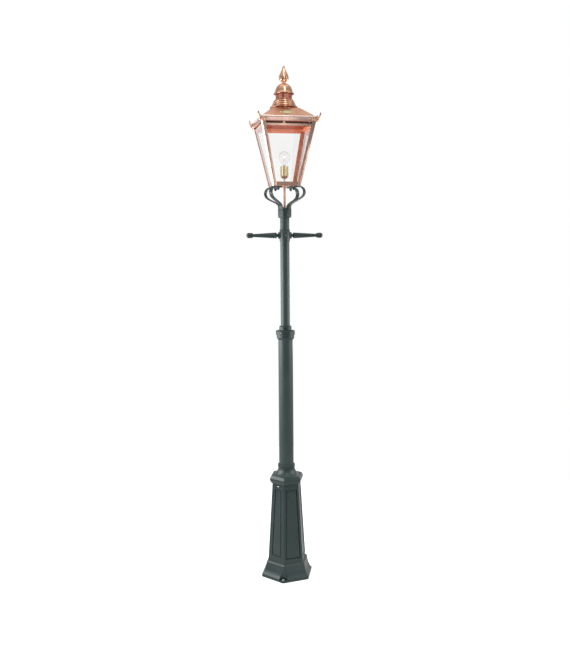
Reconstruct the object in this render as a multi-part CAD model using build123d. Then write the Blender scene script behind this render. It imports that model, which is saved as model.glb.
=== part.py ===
from build123d import *
import os
from math import atan2, cos, hypot, radians, sin, sqrt, tan

# Garden lamp post: a hexagonal cast base, two tubes joined by a collar, a ladder bar, a four-armed
# bracket and a square copper lantern with a hinged roof. Millimetres, +Z up, origin on the ground in
# the middle of the base, the lantern's front towards -Y. Azimuth 0 is -Y, 90 is +X.

# Fits
TUBE_FIT = 0.2          # radial room of a tube or stem in its socket
MOVING_FIT = 0.3        # room between a moving piece and what it closes on
DOOR_FIT = 0.6          # room around the inspection door
SCREW_FIT = 0.3         # radial room of a fixed screw or bolt in its hole

# Cast base, six-sided; "flats" sizes are across opposite faces
BASE_TURN = -19.4       # azimuth of the base's front corner, degrees
FOOT_FLATS = 240.0
FOOT_EDGE_HEIGHT = 15.0
FLARE_HEIGHT = 56.0
LEDGE_FLATS = 194.0
LEDGE_RISE = 9.0
BODY_FOOT_FLATS = 178.5
BODY_HEIGHT = 394.0
BODY_HEAD_FLATS = 135.0
COVE_HEIGHT = 26.0
CORNICE_FLATS = 159.5
CORNICE_BAND = 2.0
CORNICE_SPLAY_HEIGHT = 13.0
CORNICE_SPLAY = 6.5
BELL_FOOT_RADIUS = 65.0
BELL_HEIGHT = 34.0
BELL_HEAD_RADIUS = 42.5
RING_RADIUS = 44.5
RING_HEIGHT = 21.0
RING_CHAMFER = 2.0
BASE_WALL = 9.0
FOOT_WALL = 10.0
SOCKET_DEPTH = 58.0
SOCKET_SHELF = 10.0     # thickness of the shelf that the lower tube stands on
SOCKET_LEDGE = 5.0      # width of that shelf inside the tube's outside
PANEL_DEPTH = 2.5
PANEL_GROOVE = 5.0      # width of the groove round a panel
PANEL_GROOVE_DEPTH = 6.0
PANEL_DRAFT = 15.0      # degrees
PANEL_SIDE = 10.0       # margins of the sunk panels from the edges of their face
PANEL_FOOT = 22.0
PANEL_HEAD = 24.0

# Anchor lugs at every second corner
BOLT_CIRCLE = 252.0
BOLT_HOLE_RADIUS = 5.5
LUG_THICKNESS = 9.0
POCKET_RADIUS = 24.5
POCKET_WALL = 7.0

# Inspection door on the left front face, tilting out on its bottom edge
DOOR_AZIMUTH = -30.0    # from the base's front corner, degrees
DOOR_THICKNESS = 6.0
DOOR_SIDE = 5.0         # margins of the rebate from the edges of the face
DOOR_FOOT = 16.0
DOOR_HEAD = 3.0
DOOR_LIP = 8.0          # how far the casting laps behind the door
DOOR_HEAD_LIP = 16.0
DOOR_FRAME = 15.0       # border of the door round its own sunk panel
DOOR_PANEL_DEPTH = 1.5
DOOR_GROOVE_DEPTH = 4.0
DOOR_SCREW_DROP = 7.0   # centre of the screw below the door's top edge
DOOR_SCREW_RADIUS = 2.5
DOOR_SCREW_HEAD_RADIUS = 4.5
DOOR_SCREW_HEAD_HEIGHT = 2.8
DOOR_SCREW_REACH = 3.5  # past the back of the door
DOOR_SCREW_ROOM = 0.8   # radial room in the casting, for the tilt

# Terminal block on a plate behind the door
TERMINAL_HEIGHT = 170.0  # up the back face to the middle of the plate
TERMINAL_PLATE = (44.0, 84.0, 2.0)
TERMINAL_BLOCK = (24.0, 66.0, 18.0)
TERMINAL_WAYS = 4
TERMINAL_WELL_RADIUS = 3.2
TERMINAL_WELL_DEPTH = 8.0

# Tubes
LOWER_TUBE_RADIUS = 38.05
LOWER_TUBE_WALL = 3.0
LOWER_TUBE_SHOWN = 645.5
UPPER_TUBE_RADIUS = 24.15
UPPER_TUBE_WALL = 3.0
LADDER_RISE = 467.0     # from the collar's top to the ladder bar
HUB_RISE = 90.0         # from the ladder bar to the bottom of the bracket

# Collar between the tubes
COLLAR_CHAMFER_HEIGHT = 11.0
COLLAR_LIP = 2.2        # thickness of the collar's bottom edge round the lower tube
COLLAR_STEP_RADIUS = 46.25
COLLAR_STEP_HEIGHT = 13.0
COLLAR_FLANGE_RADIUS = 50.0
COLLAR_FLANGE_HEIGHT = 22.0
COLLAR_EDGE = 2.0
COLLAR_SHOULDER = 4.0
COLLAR_NECK_RADIUS = 32.3
COLLAR_NECK_HEIGHT = 22.0
COLLAR_NECK_CHAMFER = 5.0
COLLAR_WEB = 6.0        # between the lower tube's end and the flange's underside
SPIGOT_LENGTH = 90.0    # inside the lower tube
SPIGOT_SHELF = 10.0
SPIGOT_LEDGE = 5.0
COLLAR_SCREW_RADIUS = 4.0
COLLAR_SCREW_SUNK = 2.0
COLLAR_SCREW_COUNT = 3
COLLAR_SCREW_AZIMUTH = -45.0

# Ladder bar
SLEEVE_HEIGHT = 62.0
SLEEVE_RADIUS = 28.5
SLEEVE_END_RADIUS = 26.4
BOSS_RADIUS = 16.0
BOSS_REACH = 29.5
ARM_STUD_RADIUS = 5.0
LADDER_FLANGE_RADIUS = 17.0
LADDER_FLANGE_WIDTH = 4.5
LADDER_NECK_RADIUS = 8.2
LADDER_NECK_WIDTH = 10.0
LADDER_BEAD_RADIUS = 15.4
LADDER_BEAD_WIDTH = 8.5
LADDER_TAPER_RADIUS = 14.6
LADDER_WAIST_RADIUS = 8.0
LADDER_HALF_SPAN = 201.0
LADDER_KNOB_RADIUS = 13.9
LADDER_KNOB_LENGTH = 36.0
LADDER_SCREW_RADIUS = 3.0
LADDER_SCREW_STANDS = 1.0

# Four-armed bracket; arms on the lantern's diagonals
HUB_HEIGHT = 49.0
HUB_WALL = 3.2
HUB_CAP = 6.0
PAD_WIDTH = 30.0
PAD_CHAMFER = 5.0
PAD_TAPER = 22.0        # height over which the pad narrows to the strap
STRAP_WIDTH = 16.0
STRAP_THICKNESS = 6.0
STRAP_ROUND = 1.8
BRACKET_RISE = 112.5    # from the hub's top to the lantern's underside
ARM_ROOT_RISE = 15.0
ARM_SWEEP_RISE = 46.4
ARM_REACH = 125.6
ARM_BEND = 30.5
ARM_ROOT_BEND = 22.0
ARM_TIP = 36.0
BRACKET_BOLT_REACH = 57.0
BRACKET_BOLT_RADIUS = 4.0
BRACKET_HEAD_RADIUS = 6.5
BRACKET_HEAD_HEIGHT = 4.0
NUT_FLATS = 13.0
NUT_HEIGHT = 6.5
NUT_DOME_RADIUS = 6.0
NUT_DOME_HEIGHT = 8.0
CONDUIT_RADIUS = 6.0
CONDUIT_WALL = 1.0

# Lantern body: tapered square, corners cut off
TRAY_SIDE = 145.0
HEAD_SIDE = 275.0       # at the top of the top frame
GLAZED_RISE = 307.0     # from the underside to the top of the top frame
CORNER_CUT = 10.0
SHEET = 1.6
TRAY_HEIGHT = 21.0
TRAY_PLATE = 2.0
POST_FLANGE = 11.0
POST_GROOVE = 7.0
GLASS = 3.0
GLASS_FIT = 0.3
TOP_RAIL_HEIGHT = 11.0
TOP_FLANGE_WIDTH = 16.0
TOP_UPSTAND = 10.5      # of the top frame's inner edge, which keeps rain out of the vent gap
VENT_GAP = 12.0
CATCH_TAB_WIDTH = 11.0
CATCH_TAB_OFFSET = -25.0

# Roof
EAVES_LAP = 0.8         # eaves face outside the corner posts
EAVES_HEIGHT = 24.0
EAVES_BEAD = 3.2
EAVES_LIP = 1.4
EAVES_LIP_HEIGHT = 3.0
EAVES_RETURN = 10.0
ROOF_INSET = 2.0
ROOF_PITCH = 37.5       # degrees
ROOF_TOP_SIDE = 140.0   # flat top that carries the chimney
THROAT_SIDE = 70.0
FASCIA_SCREW_RADIUS = 3.2
FASCIA_SCREW_HEIGHT = 1.8

# Corner leaves
LEAF_LENGTH = 43.0
LEAF_THICKNESS = 3.0
LEAF_SPIKE_WIDTH = 8.0
LEAF_SPIKE_BACK = 7.0   # how far the spike leans out at its root's height
LEAF_SPIKE_DEPTH = 9.0  # of the spike below its tip
LEAF_TIP_REACH = 223.7
LEAF_TIP_RISE = 43.0    # above the bottom of the eaves
LEAF_FOOT_DROP = 2.0

# Chimney and finial, turned; heights are from each piece's own foot
SKIRT_FOOT_RADIUS = 60.0
SKIRT_FOOT_HEIGHT = 4.0
SKIRT_RIM_RADIUS = 69.0
SKIRT_RIM_HEIGHT = 4.0
SKIRT_TIER_RADII = (64.5, 59.5, 54.0)
SKIRT_TIER_HEIGHT = 13.5
SKIRT_TIER_DRAW = 3.0   # how far a tier draws in from its foot to its head
SKIRT_TIER_SWELL = 2.2
SKIRT_HEIGHT = 55.0     # of the whole skirt
SKIRT_HEAD_RADIUS = 44.5
VENT_NECK_RADIUS = 42.5
VENT_NECK_SHOWN = 17.5
DOME_RIM_RADIUS = 52.7
DOME_RIM_HEIGHT = 3.0
DOME_WAIST_RADIUS = 46.3
DOME_WAIST_HEIGHT = 18.0
DOME_CEILING = 26.0
DOME_HEIGHT = 63.5
DOME_HEAD_RADIUS = 13.0
FINIAL_NECK_RADIUS = 10.5
FINIAL_NECK_HEIGHT = 7.0
FINIAL_LOBES = 6
FINIAL_LOBE_TURN = 20.0  # azimuth of a lobe, degrees
FINIAL_LOBE_RADIUS = 11.0
FINIAL_LOBE_REACH = 14.6
FINIAL_LOBE_HEIGHT = 23.0
FINIAL_DROP_RADIUS = 23.5
FINIAL_DROP_HEIGHT = 34.0
FINIAL_SPIRE_RADIUS = 7.2
FINIAL_SPIRE_HEIGHT = 75.0
FINIAL_HEIGHT = 91.0
FINIAL_TIP_RADIUS = 5.0

# Roof hinge at the back
HINGE_WIDTH = 40.0
HINGE_MIDDLE = 14.0
HINGE_BARREL_RADIUS = 3.5
HINGE_PIN_RADIUS = 1.5
HINGE_PIN_FIT = 0.08
HINGE_LEAF = 1.5
HINGE_OUT = 3.0         # barrel's axis outside the eaves face
HINGE_LET_IN = 0.4      # of the barrel into the top of the fixed leaf
HINGE_LAP = 0.5         # of a leaf into its barrel's wall

# Lampholder and bulb
STEM_RADIUS = 5.0
STEM_BORE = 3.0
STEM_HEIGHT = 40.0
LOCKNUT_FLATS = 17.0
LOCKNUT_HEIGHT = 4.0
HOLDER_RADIUS = 20.8
HOLDER_WALL = 1.3
HOLDER_CUP_HEIGHT = 26.0
HOLDER_RING_RADIUS = 22.0
HOLDER_RING_HEIGHT = 6.0
HOLDER_SHELL_HEIGHT = 32.0
INSERT_FLOOR = 4.0
BULB_CAP_RADIUS = 13.0
BULB_CAP_HEIGHT = 27.0
BULB_RADIUS = 30.0
BULB_SHOWN = 78.0
BULB_NECK_RADIUS = 14.0
BULB_NECK_HEIGHT = 8.0
BULB_WALL = 0.8
BULB_JOIN = 38.0        # where the globe meets the throat, degrees below its middle

# Levels, all in the shared frame
foot_half = FOOT_FLATS / 2
ledge_half = LEDGE_FLATS / 2
body_foot_half = BODY_FOOT_FLATS / 2
body_head_half = BODY_HEAD_FLATS / 2
cornice_half = CORNICE_FLATS / 2
foot_corner = FOOT_FLATS / sqrt(3)
ledge_z = FOOT_EDGE_HEIGHT + FLARE_HEIGHT
body_z = ledge_z + LEDGE_RISE
cove_z = body_z + BODY_HEIGHT
cornice_z = cove_z + COVE_HEIGHT
bell_z = cornice_z + CORNICE_BAND + CORNICE_SPLAY_HEIGHT
ring_z = bell_z + BELL_HEIGHT
base_top_z = ring_z + RING_HEIGHT
lower_seat_z = base_top_z - SOCKET_DEPTH
collar_z = base_top_z + LOWER_TUBE_SHOWN
step_z = collar_z + COLLAR_CHAMFER_HEIGHT
flange_z = step_z + COLLAR_STEP_HEIGHT
shoulder_z = flange_z + COLLAR_FLANGE_HEIGHT
neck_z = shoulder_z + COLLAR_SHOULDER
collar_top_z = neck_z + COLLAR_NECK_HEIGHT
lower_tube_top_z = flange_z - COLLAR_WEB
spigot_z = lower_tube_top_z - SPIGOT_LENGTH
upper_seat_z = spigot_z + SPIGOT_SHELF
ladder_z = collar_top_z + LADDER_RISE
hub_z = ladder_z + HUB_RISE
hub_top_z = hub_z + HUB_HEIGHT
upper_tube_top_z = hub_top_z - HUB_CAP
lantern_z = hub_top_z + BRACKET_RISE
plate_top_z = lantern_z + TRAY_PLATE
tray_top_z = lantern_z + TRAY_HEIGHT
head_z = lantern_z + GLAZED_RISE
top_rail_z = head_z - TOP_RAIL_HEIGHT
eaves_z = head_z + VENT_GAP
eaves_top_z = eaves_z + EAVES_HEIGHT

body_lean = atan2(body_foot_half - body_head_half, BODY_HEIGHT)
body_slant = hypot(body_foot_half - body_head_half, BODY_HEIGHT)
hub_radius = UPPER_TUBE_RADIUS + TUBE_FIT + HUB_WALL
glass_lean = (HEAD_SIDE - TRAY_SIDE) / 2 / GLAZED_RISE
glass_depth = GLASS * sqrt(1 + glass_lean**2)
groove_width = glass_depth + 2 * GLASS_FIT
post_depth = 2 * SHEET + groove_width
post_tip = CORNER_CUT + POST_FLANGE
groove_end = post_tip - POST_GROOVE
eaves_half = TRAY_SIDE / 2 + glass_lean * (eaves_z - lantern_z) + EAVES_LAP
roof_half = eaves_half - ROOF_INSET
roof_slope = tan(radians(ROOF_PITCH))
roof_top_z = eaves_top_z + (roof_half - ROOF_TOP_SIDE / 2) * roof_slope
vent_neck_z = roof_top_z + SKIRT_HEIGHT
dome_z = vent_neck_z + VENT_NECK_SHOWN
finial_z = dome_z + DOME_HEIGHT
cup_z = plate_top_z + STEM_HEIGHT - HOLDER_WALL
holder_ring_z = cup_z + HOLDER_CUP_HEIGHT
shell_z = holder_ring_z + HOLDER_RING_HEIGHT
shell_top_z = shell_z + HOLDER_SHELL_HEIGHT
hinge_y = eaves_half + HINGE_OUT
hinge_z = head_z + HINGE_LEAF + HINGE_BARREL_RADIUS - HINGE_LET_IN

CORNERS = {"front_left": -45, "front_right": 45, "back_right": 135, "back_left": -135}
SIDES = {"front": 0, "right": 90, "back": 180, "left": -90}
FROM_BELOW = (Align.CENTER, Align.CENTER, Align.MIN)


def turned(*edges):
    """Solid of revolution about Z from the edges of a closed outline in (radius, height)."""
    return revolve(Plane.XZ * make_face(list(edges)), Axis.Z)


def polygon(*points):
    """Flat face with straight sides through the points."""
    return make_face(Polyline(*points, close=True).edges())


def tube(outer, inner, low, high):
    """Upright tube on the axis between two levels."""
    return Pos(0, 0, low) * extrude(Circle(outer) - Circle(inner), high - low)


def rod(radius, low, high):
    """Upright round bar on the axis between two levels."""
    return Pos(0, 0, low) * Cylinder(radius, high - low, align=FROM_BELOW)


def turn(azimuth):
    """Rotation that carries a piece made at the front (-Y) round to an azimuth."""
    return Rot(0, 0, azimuth)


def facing(azimuth, out, height, lean=0.0):
    """Plane whose normal points outwards at an azimuth, leaning up by lean, with y up the plane."""
    angle = radians(azimuth)
    outward = Vector(sin(angle), -cos(angle), 0)
    along = Vector(cos(angle), sin(angle), 0)
    normal = outward * cos(lean) + Vector(0, 0, sin(lean))
    return Plane(origin=outward * out + Vector(0, 0, height), x_dir=along, z_dir=normal)


def many_sided(half_outline, sides):
    """Prism-like form with the same outline, half width against height, on all its faces."""
    half = extrude(Plane.XZ * make_face(half_outline), foot_half * 2, both=True)
    slab = half + mirror(half, about=Plane.YZ)
    form = slab
    for index in range(1, sides // 2):
        form = form & turn(index * 360 / sides) * slab
    return form


def body_half(height):
    """Half the lantern body's outer width at a level."""
    return TRAY_SIDE / 2 + glass_lean * (height - lantern_z)


def hexagonal_outline():
    """Half outline of the base's outside from its foot to the top of the cornice."""
    band_z = cornice_z + CORNICE_BAND
    lower = Polyline(
        (0, 0),
        (foot_half, 0),
        (foot_half, FOOT_EDGE_HEIGHT),
        (ledge_half, ledge_z),
        (body_foot_half, body_z),
        (body_head_half, cove_z),
    )
    cove = RadiusArc((body_head_half, cove_z), (cornice_half, cornice_z), -1.15 * COVE_HEIGHT)
    upper = Polyline(
        (cornice_half, cornice_z),
        (cornice_half, band_z),
        (cornice_half - CORNICE_SPLAY, bell_z),
        (0, bell_z),
        (0, 0),
    )
    return lower.edges() + cove.edges() + upper.edges()


def hollow_outline():
    """Half outline of the space inside the base."""
    roof_z = lower_seat_z - SOCKET_SHELF
    return Polyline(
        (0, 0),
        (foot_half - FOOT_WALL, 0),
        (body_foot_half - BASE_WALL, body_z),
        (body_head_half - BASE_WALL, cove_z),
        (body_head_half - BASE_WALL, roof_z),
        (0, roof_z),
        close=True,
    ).edges()


def face_panel(side, foot, head):
    """Tapered panel on a face of the base, inset from its sides, foot and head."""
    foot_width = body_foot_half / sqrt(3)
    head_width = body_head_half / sqrt(3)
    narrowing = (foot_width - head_width) / body_slant
    low = foot_width - side - narrowing * foot
    high = foot_width - side - narrowing * (body_slant - head)
    top = body_slant - head
    return polygon((-low, foot), (low, foot), (high, top), (-high, top))


def sunk_panel(face, side, foot, head, depth, groove_depth):
    """Solid to cut for a panel on a face of the base: a shallow field with a deep groove round it."""
    outside = face * face_panel(side, foot, head)
    inside = face * face_panel(side + PANEL_GROOVE, foot + PANEL_GROOVE, head + PANEL_GROOVE)
    groove = extrude(outside, -groove_depth, taper=PANEL_DRAFT)
    groove -= extrude(inside, -2 * groove_depth)
    return groove + extrude(inside, -depth)


def base_face(azimuth, sunk=0.0):
    """Plane on a tapered face of the base, sunk into the wall."""
    return facing(azimuth, body_foot_half, body_z, body_lean).offset(-sunk)


def door_outline(inset, foot_inset, head_inset):
    """Outline on the door's face, inset from the rebate."""
    return face_panel(DOOR_SIDE + inset, DOOR_FOOT + foot_inset, DOOR_HEAD + head_inset)


def door_screw_place():
    """Plane on the door's outside at the middle of its screw."""
    height = body_slant - DOOR_HEAD - DOOR_FIT - DOOR_SCREW_DROP
    return base_face(DOOR_AZIMUTH) * Pos(0, height, 0)


def socket_neck():
    """Bell and ring on top of the base that take the lower tube."""
    groove = RING_CHAMFER
    bell = RadiusArc((BELL_FOOT_RADIUS, bell_z), (BELL_HEAD_RADIUS, ring_z), 1.6 * BELL_HEIGHT)
    rest = Polyline(
        (BELL_HEAD_RADIUS, ring_z),
        (BELL_HEAD_RADIUS, ring_z + groove),
        (RING_RADIUS, ring_z + 2 * groove),
        (RING_RADIUS, base_top_z - RING_CHAMFER),
        (RING_RADIUS - RING_CHAMFER, base_top_z),
        (0, base_top_z),
        (0, bell_z),
        (BELL_FOOT_RADIUS, bell_z),
    )
    return turned(*bell.edges(), *rest.edges())


def base_casting():
    """Hollow panelled pedestal with anchor lugs, a door opening and a tube socket."""
    hollow = many_sided(hollow_outline(), 6)
    lug = Pos(0, -foot_corner, 0) * rod(POCKET_RADIUS + POCKET_WALL, 0, body_z)
    pocket = Pos(0, -foot_corner, 0) * rod(POCKET_RADIUS, LUG_THICKNESS, body_z)
    bolt_hole = Pos(0, -BOLT_CIRCLE / 2, 0) * rod(BOLT_HOLE_RADIUS, -1, LUG_THICKNESS + 1)
    panel = (PANEL_SIDE, PANEL_FOOT, PANEL_HEAD, PANEL_DEPTH, PANEL_GROOVE_DEPTH)
    casting = many_sided(hexagonal_outline(), 6) + socket_neck()
    for azimuth in (0, 120, 240):
        hollow -= turn(azimuth) * lug
    casting -= hollow
    for azimuth in (0, 120, 240):
        casting -= turn(azimuth) * (pocket + bolt_hole)
    for azimuth in range(30, 330, 60):
        casting -= sunk_panel(base_face(azimuth), *panel)
    casting -= extrude(base_face(DOOR_AZIMUTH) * door_outline(0, 0, 0), -DOOR_THICKNESS)
    window = door_outline(DOOR_LIP, DOOR_LIP, DOOR_HEAD_LIP)
    casting -= extrude(base_face(DOOR_AZIMUTH) * window, -3 * BASE_WALL)
    screw_hole = Circle(DOOR_SCREW_RADIUS + DOOR_SCREW_ROOM)
    casting -= extrude(door_screw_place() * screw_hole, -2 * BASE_WALL)
    casting -= rod(LOWER_TUBE_RADIUS + TUBE_FIT, lower_seat_z, base_top_z + 1)
    casting -= rod(LOWER_TUBE_RADIUS - SOCKET_LEDGE, lower_seat_z - 2 * SOCKET_SHELF, base_top_z)
    return turn(BASE_TURN) * casting


def inspection_door():
    """Tapered plate with a sunk panel, flush in its rebate."""
    plate = extrude(base_face(DOOR_AZIMUTH) * door_outline(DOOR_FIT, DOOR_FIT, DOOR_FIT), -DOOR_THICKNESS)
    margins = (DOOR_SIDE + DOOR_FRAME, DOOR_FOOT + DOOR_FRAME, DOOR_HEAD + DOOR_FRAME + DOOR_SCREW_DROP)
    plate -= sunk_panel(base_face(DOOR_AZIMUTH), *margins, DOOR_PANEL_DEPTH, DOOR_GROOVE_DEPTH)
    plate -= extrude(door_screw_place() * Circle(DOOR_SCREW_RADIUS + SCREW_FIT), -2 * DOOR_THICKNESS)
    return turn(BASE_TURN) * plate


def door_screw():
    """Captive button-head screw with a hexagon socket."""
    place = door_screw_place()
    shank = extrude(Circle(DOOR_SCREW_RADIUS), -(DOOR_THICKNESS + DOOR_SCREW_REACH))
    head_arc = ThreePointArc(
        (DOOR_SCREW_HEAD_RADIUS, 0),
        (0.72 * DOOR_SCREW_HEAD_RADIUS, 0.72 * DOOR_SCREW_HEAD_HEIGHT),
        (0, DOOR_SCREW_HEAD_HEIGHT),
    )
    head_sides = Polyline((0, DOOR_SCREW_HEAD_HEIGHT), (0, 0), (DOOR_SCREW_HEAD_RADIUS, 0))
    head = turned(*head_arc.edges(), *head_sides.edges())
    socket = RegularPolygon(DOOR_SCREW_RADIUS * 0.7, 6)
    head -= Pos(0, 0, DOOR_SCREW_HEAD_HEIGHT / 3) * extrude(socket, DOOR_SCREW_HEAD_HEIGHT)
    return turn(BASE_TURN) * (place * (shank + head))


def terminal_place():
    """Plane on the inside of the wall opposite the door, facing inwards, y up."""
    inner = base_face(DOOR_AZIMUTH + 180, BASE_WALL)
    return Plane(
        origin=inner.origin + inner.y_dir * TERMINAL_HEIGHT,
        x_dir=-inner.x_dir,
        z_dir=-inner.z_dir,
    )


def terminal_plate():
    """Steel plate that carries the terminal block."""
    width, height, depth = TERMINAL_PLATE
    return turn(BASE_TURN) * (terminal_place() * Box(width, height, depth, align=FROM_BELOW))


def terminal_block():
    """Moulded block with a row of screw wells."""
    width, height, depth = TERMINAL_BLOCK
    block = Box(width, height, depth, align=FROM_BELOW)
    pitch = height / TERMINAL_WAYS
    for way in range(TERMINAL_WAYS):
        for side in (-1, 1):
            place = Pos(side * width / 4, (way + 0.5) * pitch - height / 2, depth - TERMINAL_WELL_DEPTH)
            block -= place * Cylinder(TERMINAL_WELL_RADIUS, 2 * TERMINAL_WELL_DEPTH, align=FROM_BELOW)
    return turn(BASE_TURN) * (terminal_place().offset(TERMINAL_PLATE[2]) * block)


def lower_tube():
    """Lower tube, standing in the base's socket."""
    inner = LOWER_TUBE_RADIUS - LOWER_TUBE_WALL
    return tube(LOWER_TUBE_RADIUS, inner, lower_seat_z, lower_tube_top_z)


def collar_screw_hole(radius, start, end):
    """Round bars for the collar's set screws, from one distance off the axis to another."""
    bars = []
    height = (flange_z + shoulder_z) / 2
    for index in range(COLLAR_SCREW_COUNT):
        azimuth = COLLAR_SCREW_AZIMUTH + index * 360 / COLLAR_SCREW_COUNT
        bars.append(extrude(facing(azimuth, start, height) * Circle(radius), end - start))
    return bars


def collar_casting():
    """Stepped collar over the lower tube, with a spigot inside it that holds the upper tube."""
    bore = UPPER_TUBE_RADIUS + TUBE_FIT
    spigot = LOWER_TUBE_RADIUS - LOWER_TUBE_WALL - TUBE_FIT
    skirt = LOWER_TUBE_RADIUS + TUBE_FIT
    shelf_bore = UPPER_TUBE_RADIUS - SPIGOT_LEDGE
    outline = Polyline(
        (shelf_bore, spigot_z),
        (spigot, spigot_z),
        (spigot, lower_tube_top_z),
        (skirt, lower_tube_top_z),
        (skirt, collar_z),
        (skirt + COLLAR_LIP, collar_z),
        (COLLAR_STEP_RADIUS, step_z),
        (COLLAR_STEP_RADIUS, flange_z),
        (COLLAR_FLANGE_RADIUS - COLLAR_EDGE, flange_z),
        (COLLAR_FLANGE_RADIUS, flange_z + COLLAR_EDGE),
        (COLLAR_FLANGE_RADIUS, shoulder_z - COLLAR_EDGE),
        (COLLAR_FLANGE_RADIUS - COLLAR_EDGE, shoulder_z),
        (COLLAR_NECK_RADIUS, neck_z),
        (COLLAR_NECK_RADIUS, collar_top_z - COLLAR_NECK_CHAMFER),
        (bore + COLLAR_LIP, collar_top_z),
        (bore, collar_top_z),
        (bore, upper_seat_z),
        (shelf_bore, upper_seat_z),
        close=True,
    )
    collar = turned(*outline.edges())
    for hole in collar_screw_hole(COLLAR_SCREW_RADIUS + SCREW_FIT, UPPER_TUBE_RADIUS, COLLAR_FLANGE_RADIUS + 1):
        collar -= hole
    return collar


def collar_screws():
    """Set screws through the flange onto the upper tube."""
    start = UPPER_TUBE_RADIUS + TUBE_FIT / 2
    end = COLLAR_FLANGE_RADIUS - COLLAR_SCREW_SUNK
    return Compound(children=collar_screw_hole(COLLAR_SCREW_RADIUS, start, end))


def upper_tube():
    """Upper tube, from the collar's shelf to the bracket's cap."""
    inner = UPPER_TUBE_RADIUS - UPPER_TUBE_WALL
    return tube(UPPER_TUBE_RADIUS, inner, upper_seat_z, upper_tube_top_z)


def ladder_sleeve():
    """Barrel-shaped sleeve with a boss on each side for the arms."""
    low = ladder_z - SLEEVE_HEIGHT / 2
    high = ladder_z + SLEEVE_HEIGHT / 2
    side = ThreePointArc((SLEEVE_END_RADIUS, low), (SLEEVE_RADIUS, ladder_z), (SLEEVE_END_RADIUS, high))
    rest = Polyline((SLEEVE_END_RADIUS, high), (0, high), (0, low), (SLEEVE_END_RADIUS, low))
    sleeve = turned(*side.edges(), *rest.edges())
    across = Pos(0, 0, ladder_z) * Rot(0, 90, 0)
    sleeve += across * Cylinder(BOSS_RADIUS, 2 * BOSS_REACH)
    sleeve -= across * Cylinder(ARM_STUD_RADIUS + SCREW_FIT, 2 * BOSS_REACH + 1)
    sleeve -= rod(UPPER_TUBE_RADIUS + TUBE_FIT, low - 1, high + 1)
    screw = facing(0, 0, ladder_z) * Circle(LADDER_SCREW_RADIUS + SCREW_FIT)
    sleeve -= extrude(screw, 2 * SLEEVE_RADIUS)
    return sleeve


def ladder_arm(side):
    """Turned arm: flange, neck, bead, long taper and a round knob, along X."""
    neck = BOSS_REACH + LADDER_FLANGE_WIDTH
    bead = neck + LADDER_NECK_WIDTH
    taper = bead + LADDER_BEAD_WIDTH
    knob = LADDER_HALF_SPAN - LADDER_KNOB_LENGTH
    stud = UPPER_TUBE_RADIUS + 2 * TUBE_FIT
    root = Polyline(
        (0, stud),
        (ARM_STUD_RADIUS, stud),
        (ARM_STUD_RADIUS, BOSS_REACH),
        (LADDER_FLANGE_RADIUS, BOSS_REACH),
        (LADDER_FLANGE_RADIUS, neck),
    )
    waist = ThreePointArc(
        (LADDER_FLANGE_RADIUS, neck),
        (LADDER_NECK_RADIUS, (neck + bead) / 2),
        (LADDER_TAPER_RADIUS - 2, bead),
    )
    beading = ThreePointArc(
        (LADDER_TAPER_RADIUS - 2, bead),
        (LADDER_BEAD_RADIUS, (bead + taper) / 2),
        (LADDER_TAPER_RADIUS - 1, taper),
    )
    shaft = Polyline(
        (LADDER_TAPER_RADIUS - 1, taper),
        (LADDER_TAPER_RADIUS, taper + 2),
        (LADDER_WAIST_RADIUS, knob),
        (LADDER_KNOB_RADIUS - 2.5, knob + 2),
    )
    swell = ThreePointArc(
        (LADDER_KNOB_RADIUS - 2.5, knob + 2),
        (LADDER_KNOB_RADIUS - 0.6, knob + LADDER_KNOB_LENGTH * 0.35),
        (LADDER_KNOB_RADIUS, LADDER_HALF_SPAN - LADDER_KNOB_RADIUS),
    )
    tip = ThreePointArc(
        (LADDER_KNOB_RADIUS, LADDER_HALF_SPAN - LADDER_KNOB_RADIUS),
        (LADDER_KNOB_RADIUS * sqrt(0.5), LADDER_HALF_SPAN - LADDER_KNOB_RADIUS * (1 - sqrt(0.5))),
        (0, LADDER_HALF_SPAN),
    )
    axis = Line((0, LADDER_HALF_SPAN), (0, stud))
    pieces = (root, waist, beading, shaft, swell, tip, axis)
    arm = turned(*[edge for piece in pieces for edge in piece.edges()])
    return Pos(0, 0, ladder_z) * Rot(0, 90 * side, 0) * arm


def ladder_screw():
    """Set screw at the front of the ladder sleeve."""
    start = UPPER_TUBE_RADIUS + TUBE_FIT / 2
    length = SLEEVE_RADIUS + LADDER_SCREW_STANDS - start
    screw = extrude(facing(0, start, ladder_z) * Circle(LADDER_SCREW_RADIUS), length)
    socket = facing(0, start + length, ladder_z) * RegularPolygon(LADDER_SCREW_RADIUS * 0.55, 6)
    return screw - extrude(socket, -length / 2)


def bracket_hub():
    """Socket over the top of the upper tube, with a cap that the conduit leaves by."""
    hub = rod(hub_radius, hub_z, hub_top_z)
    hub -= rod(UPPER_TUBE_RADIUS + TUBE_FIT, hub_z - 1, upper_tube_top_z)
    hub -= rod(CONDUIT_RADIUS + TUBE_FIT, hub_z, hub_top_z + 1)
    return hub


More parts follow.
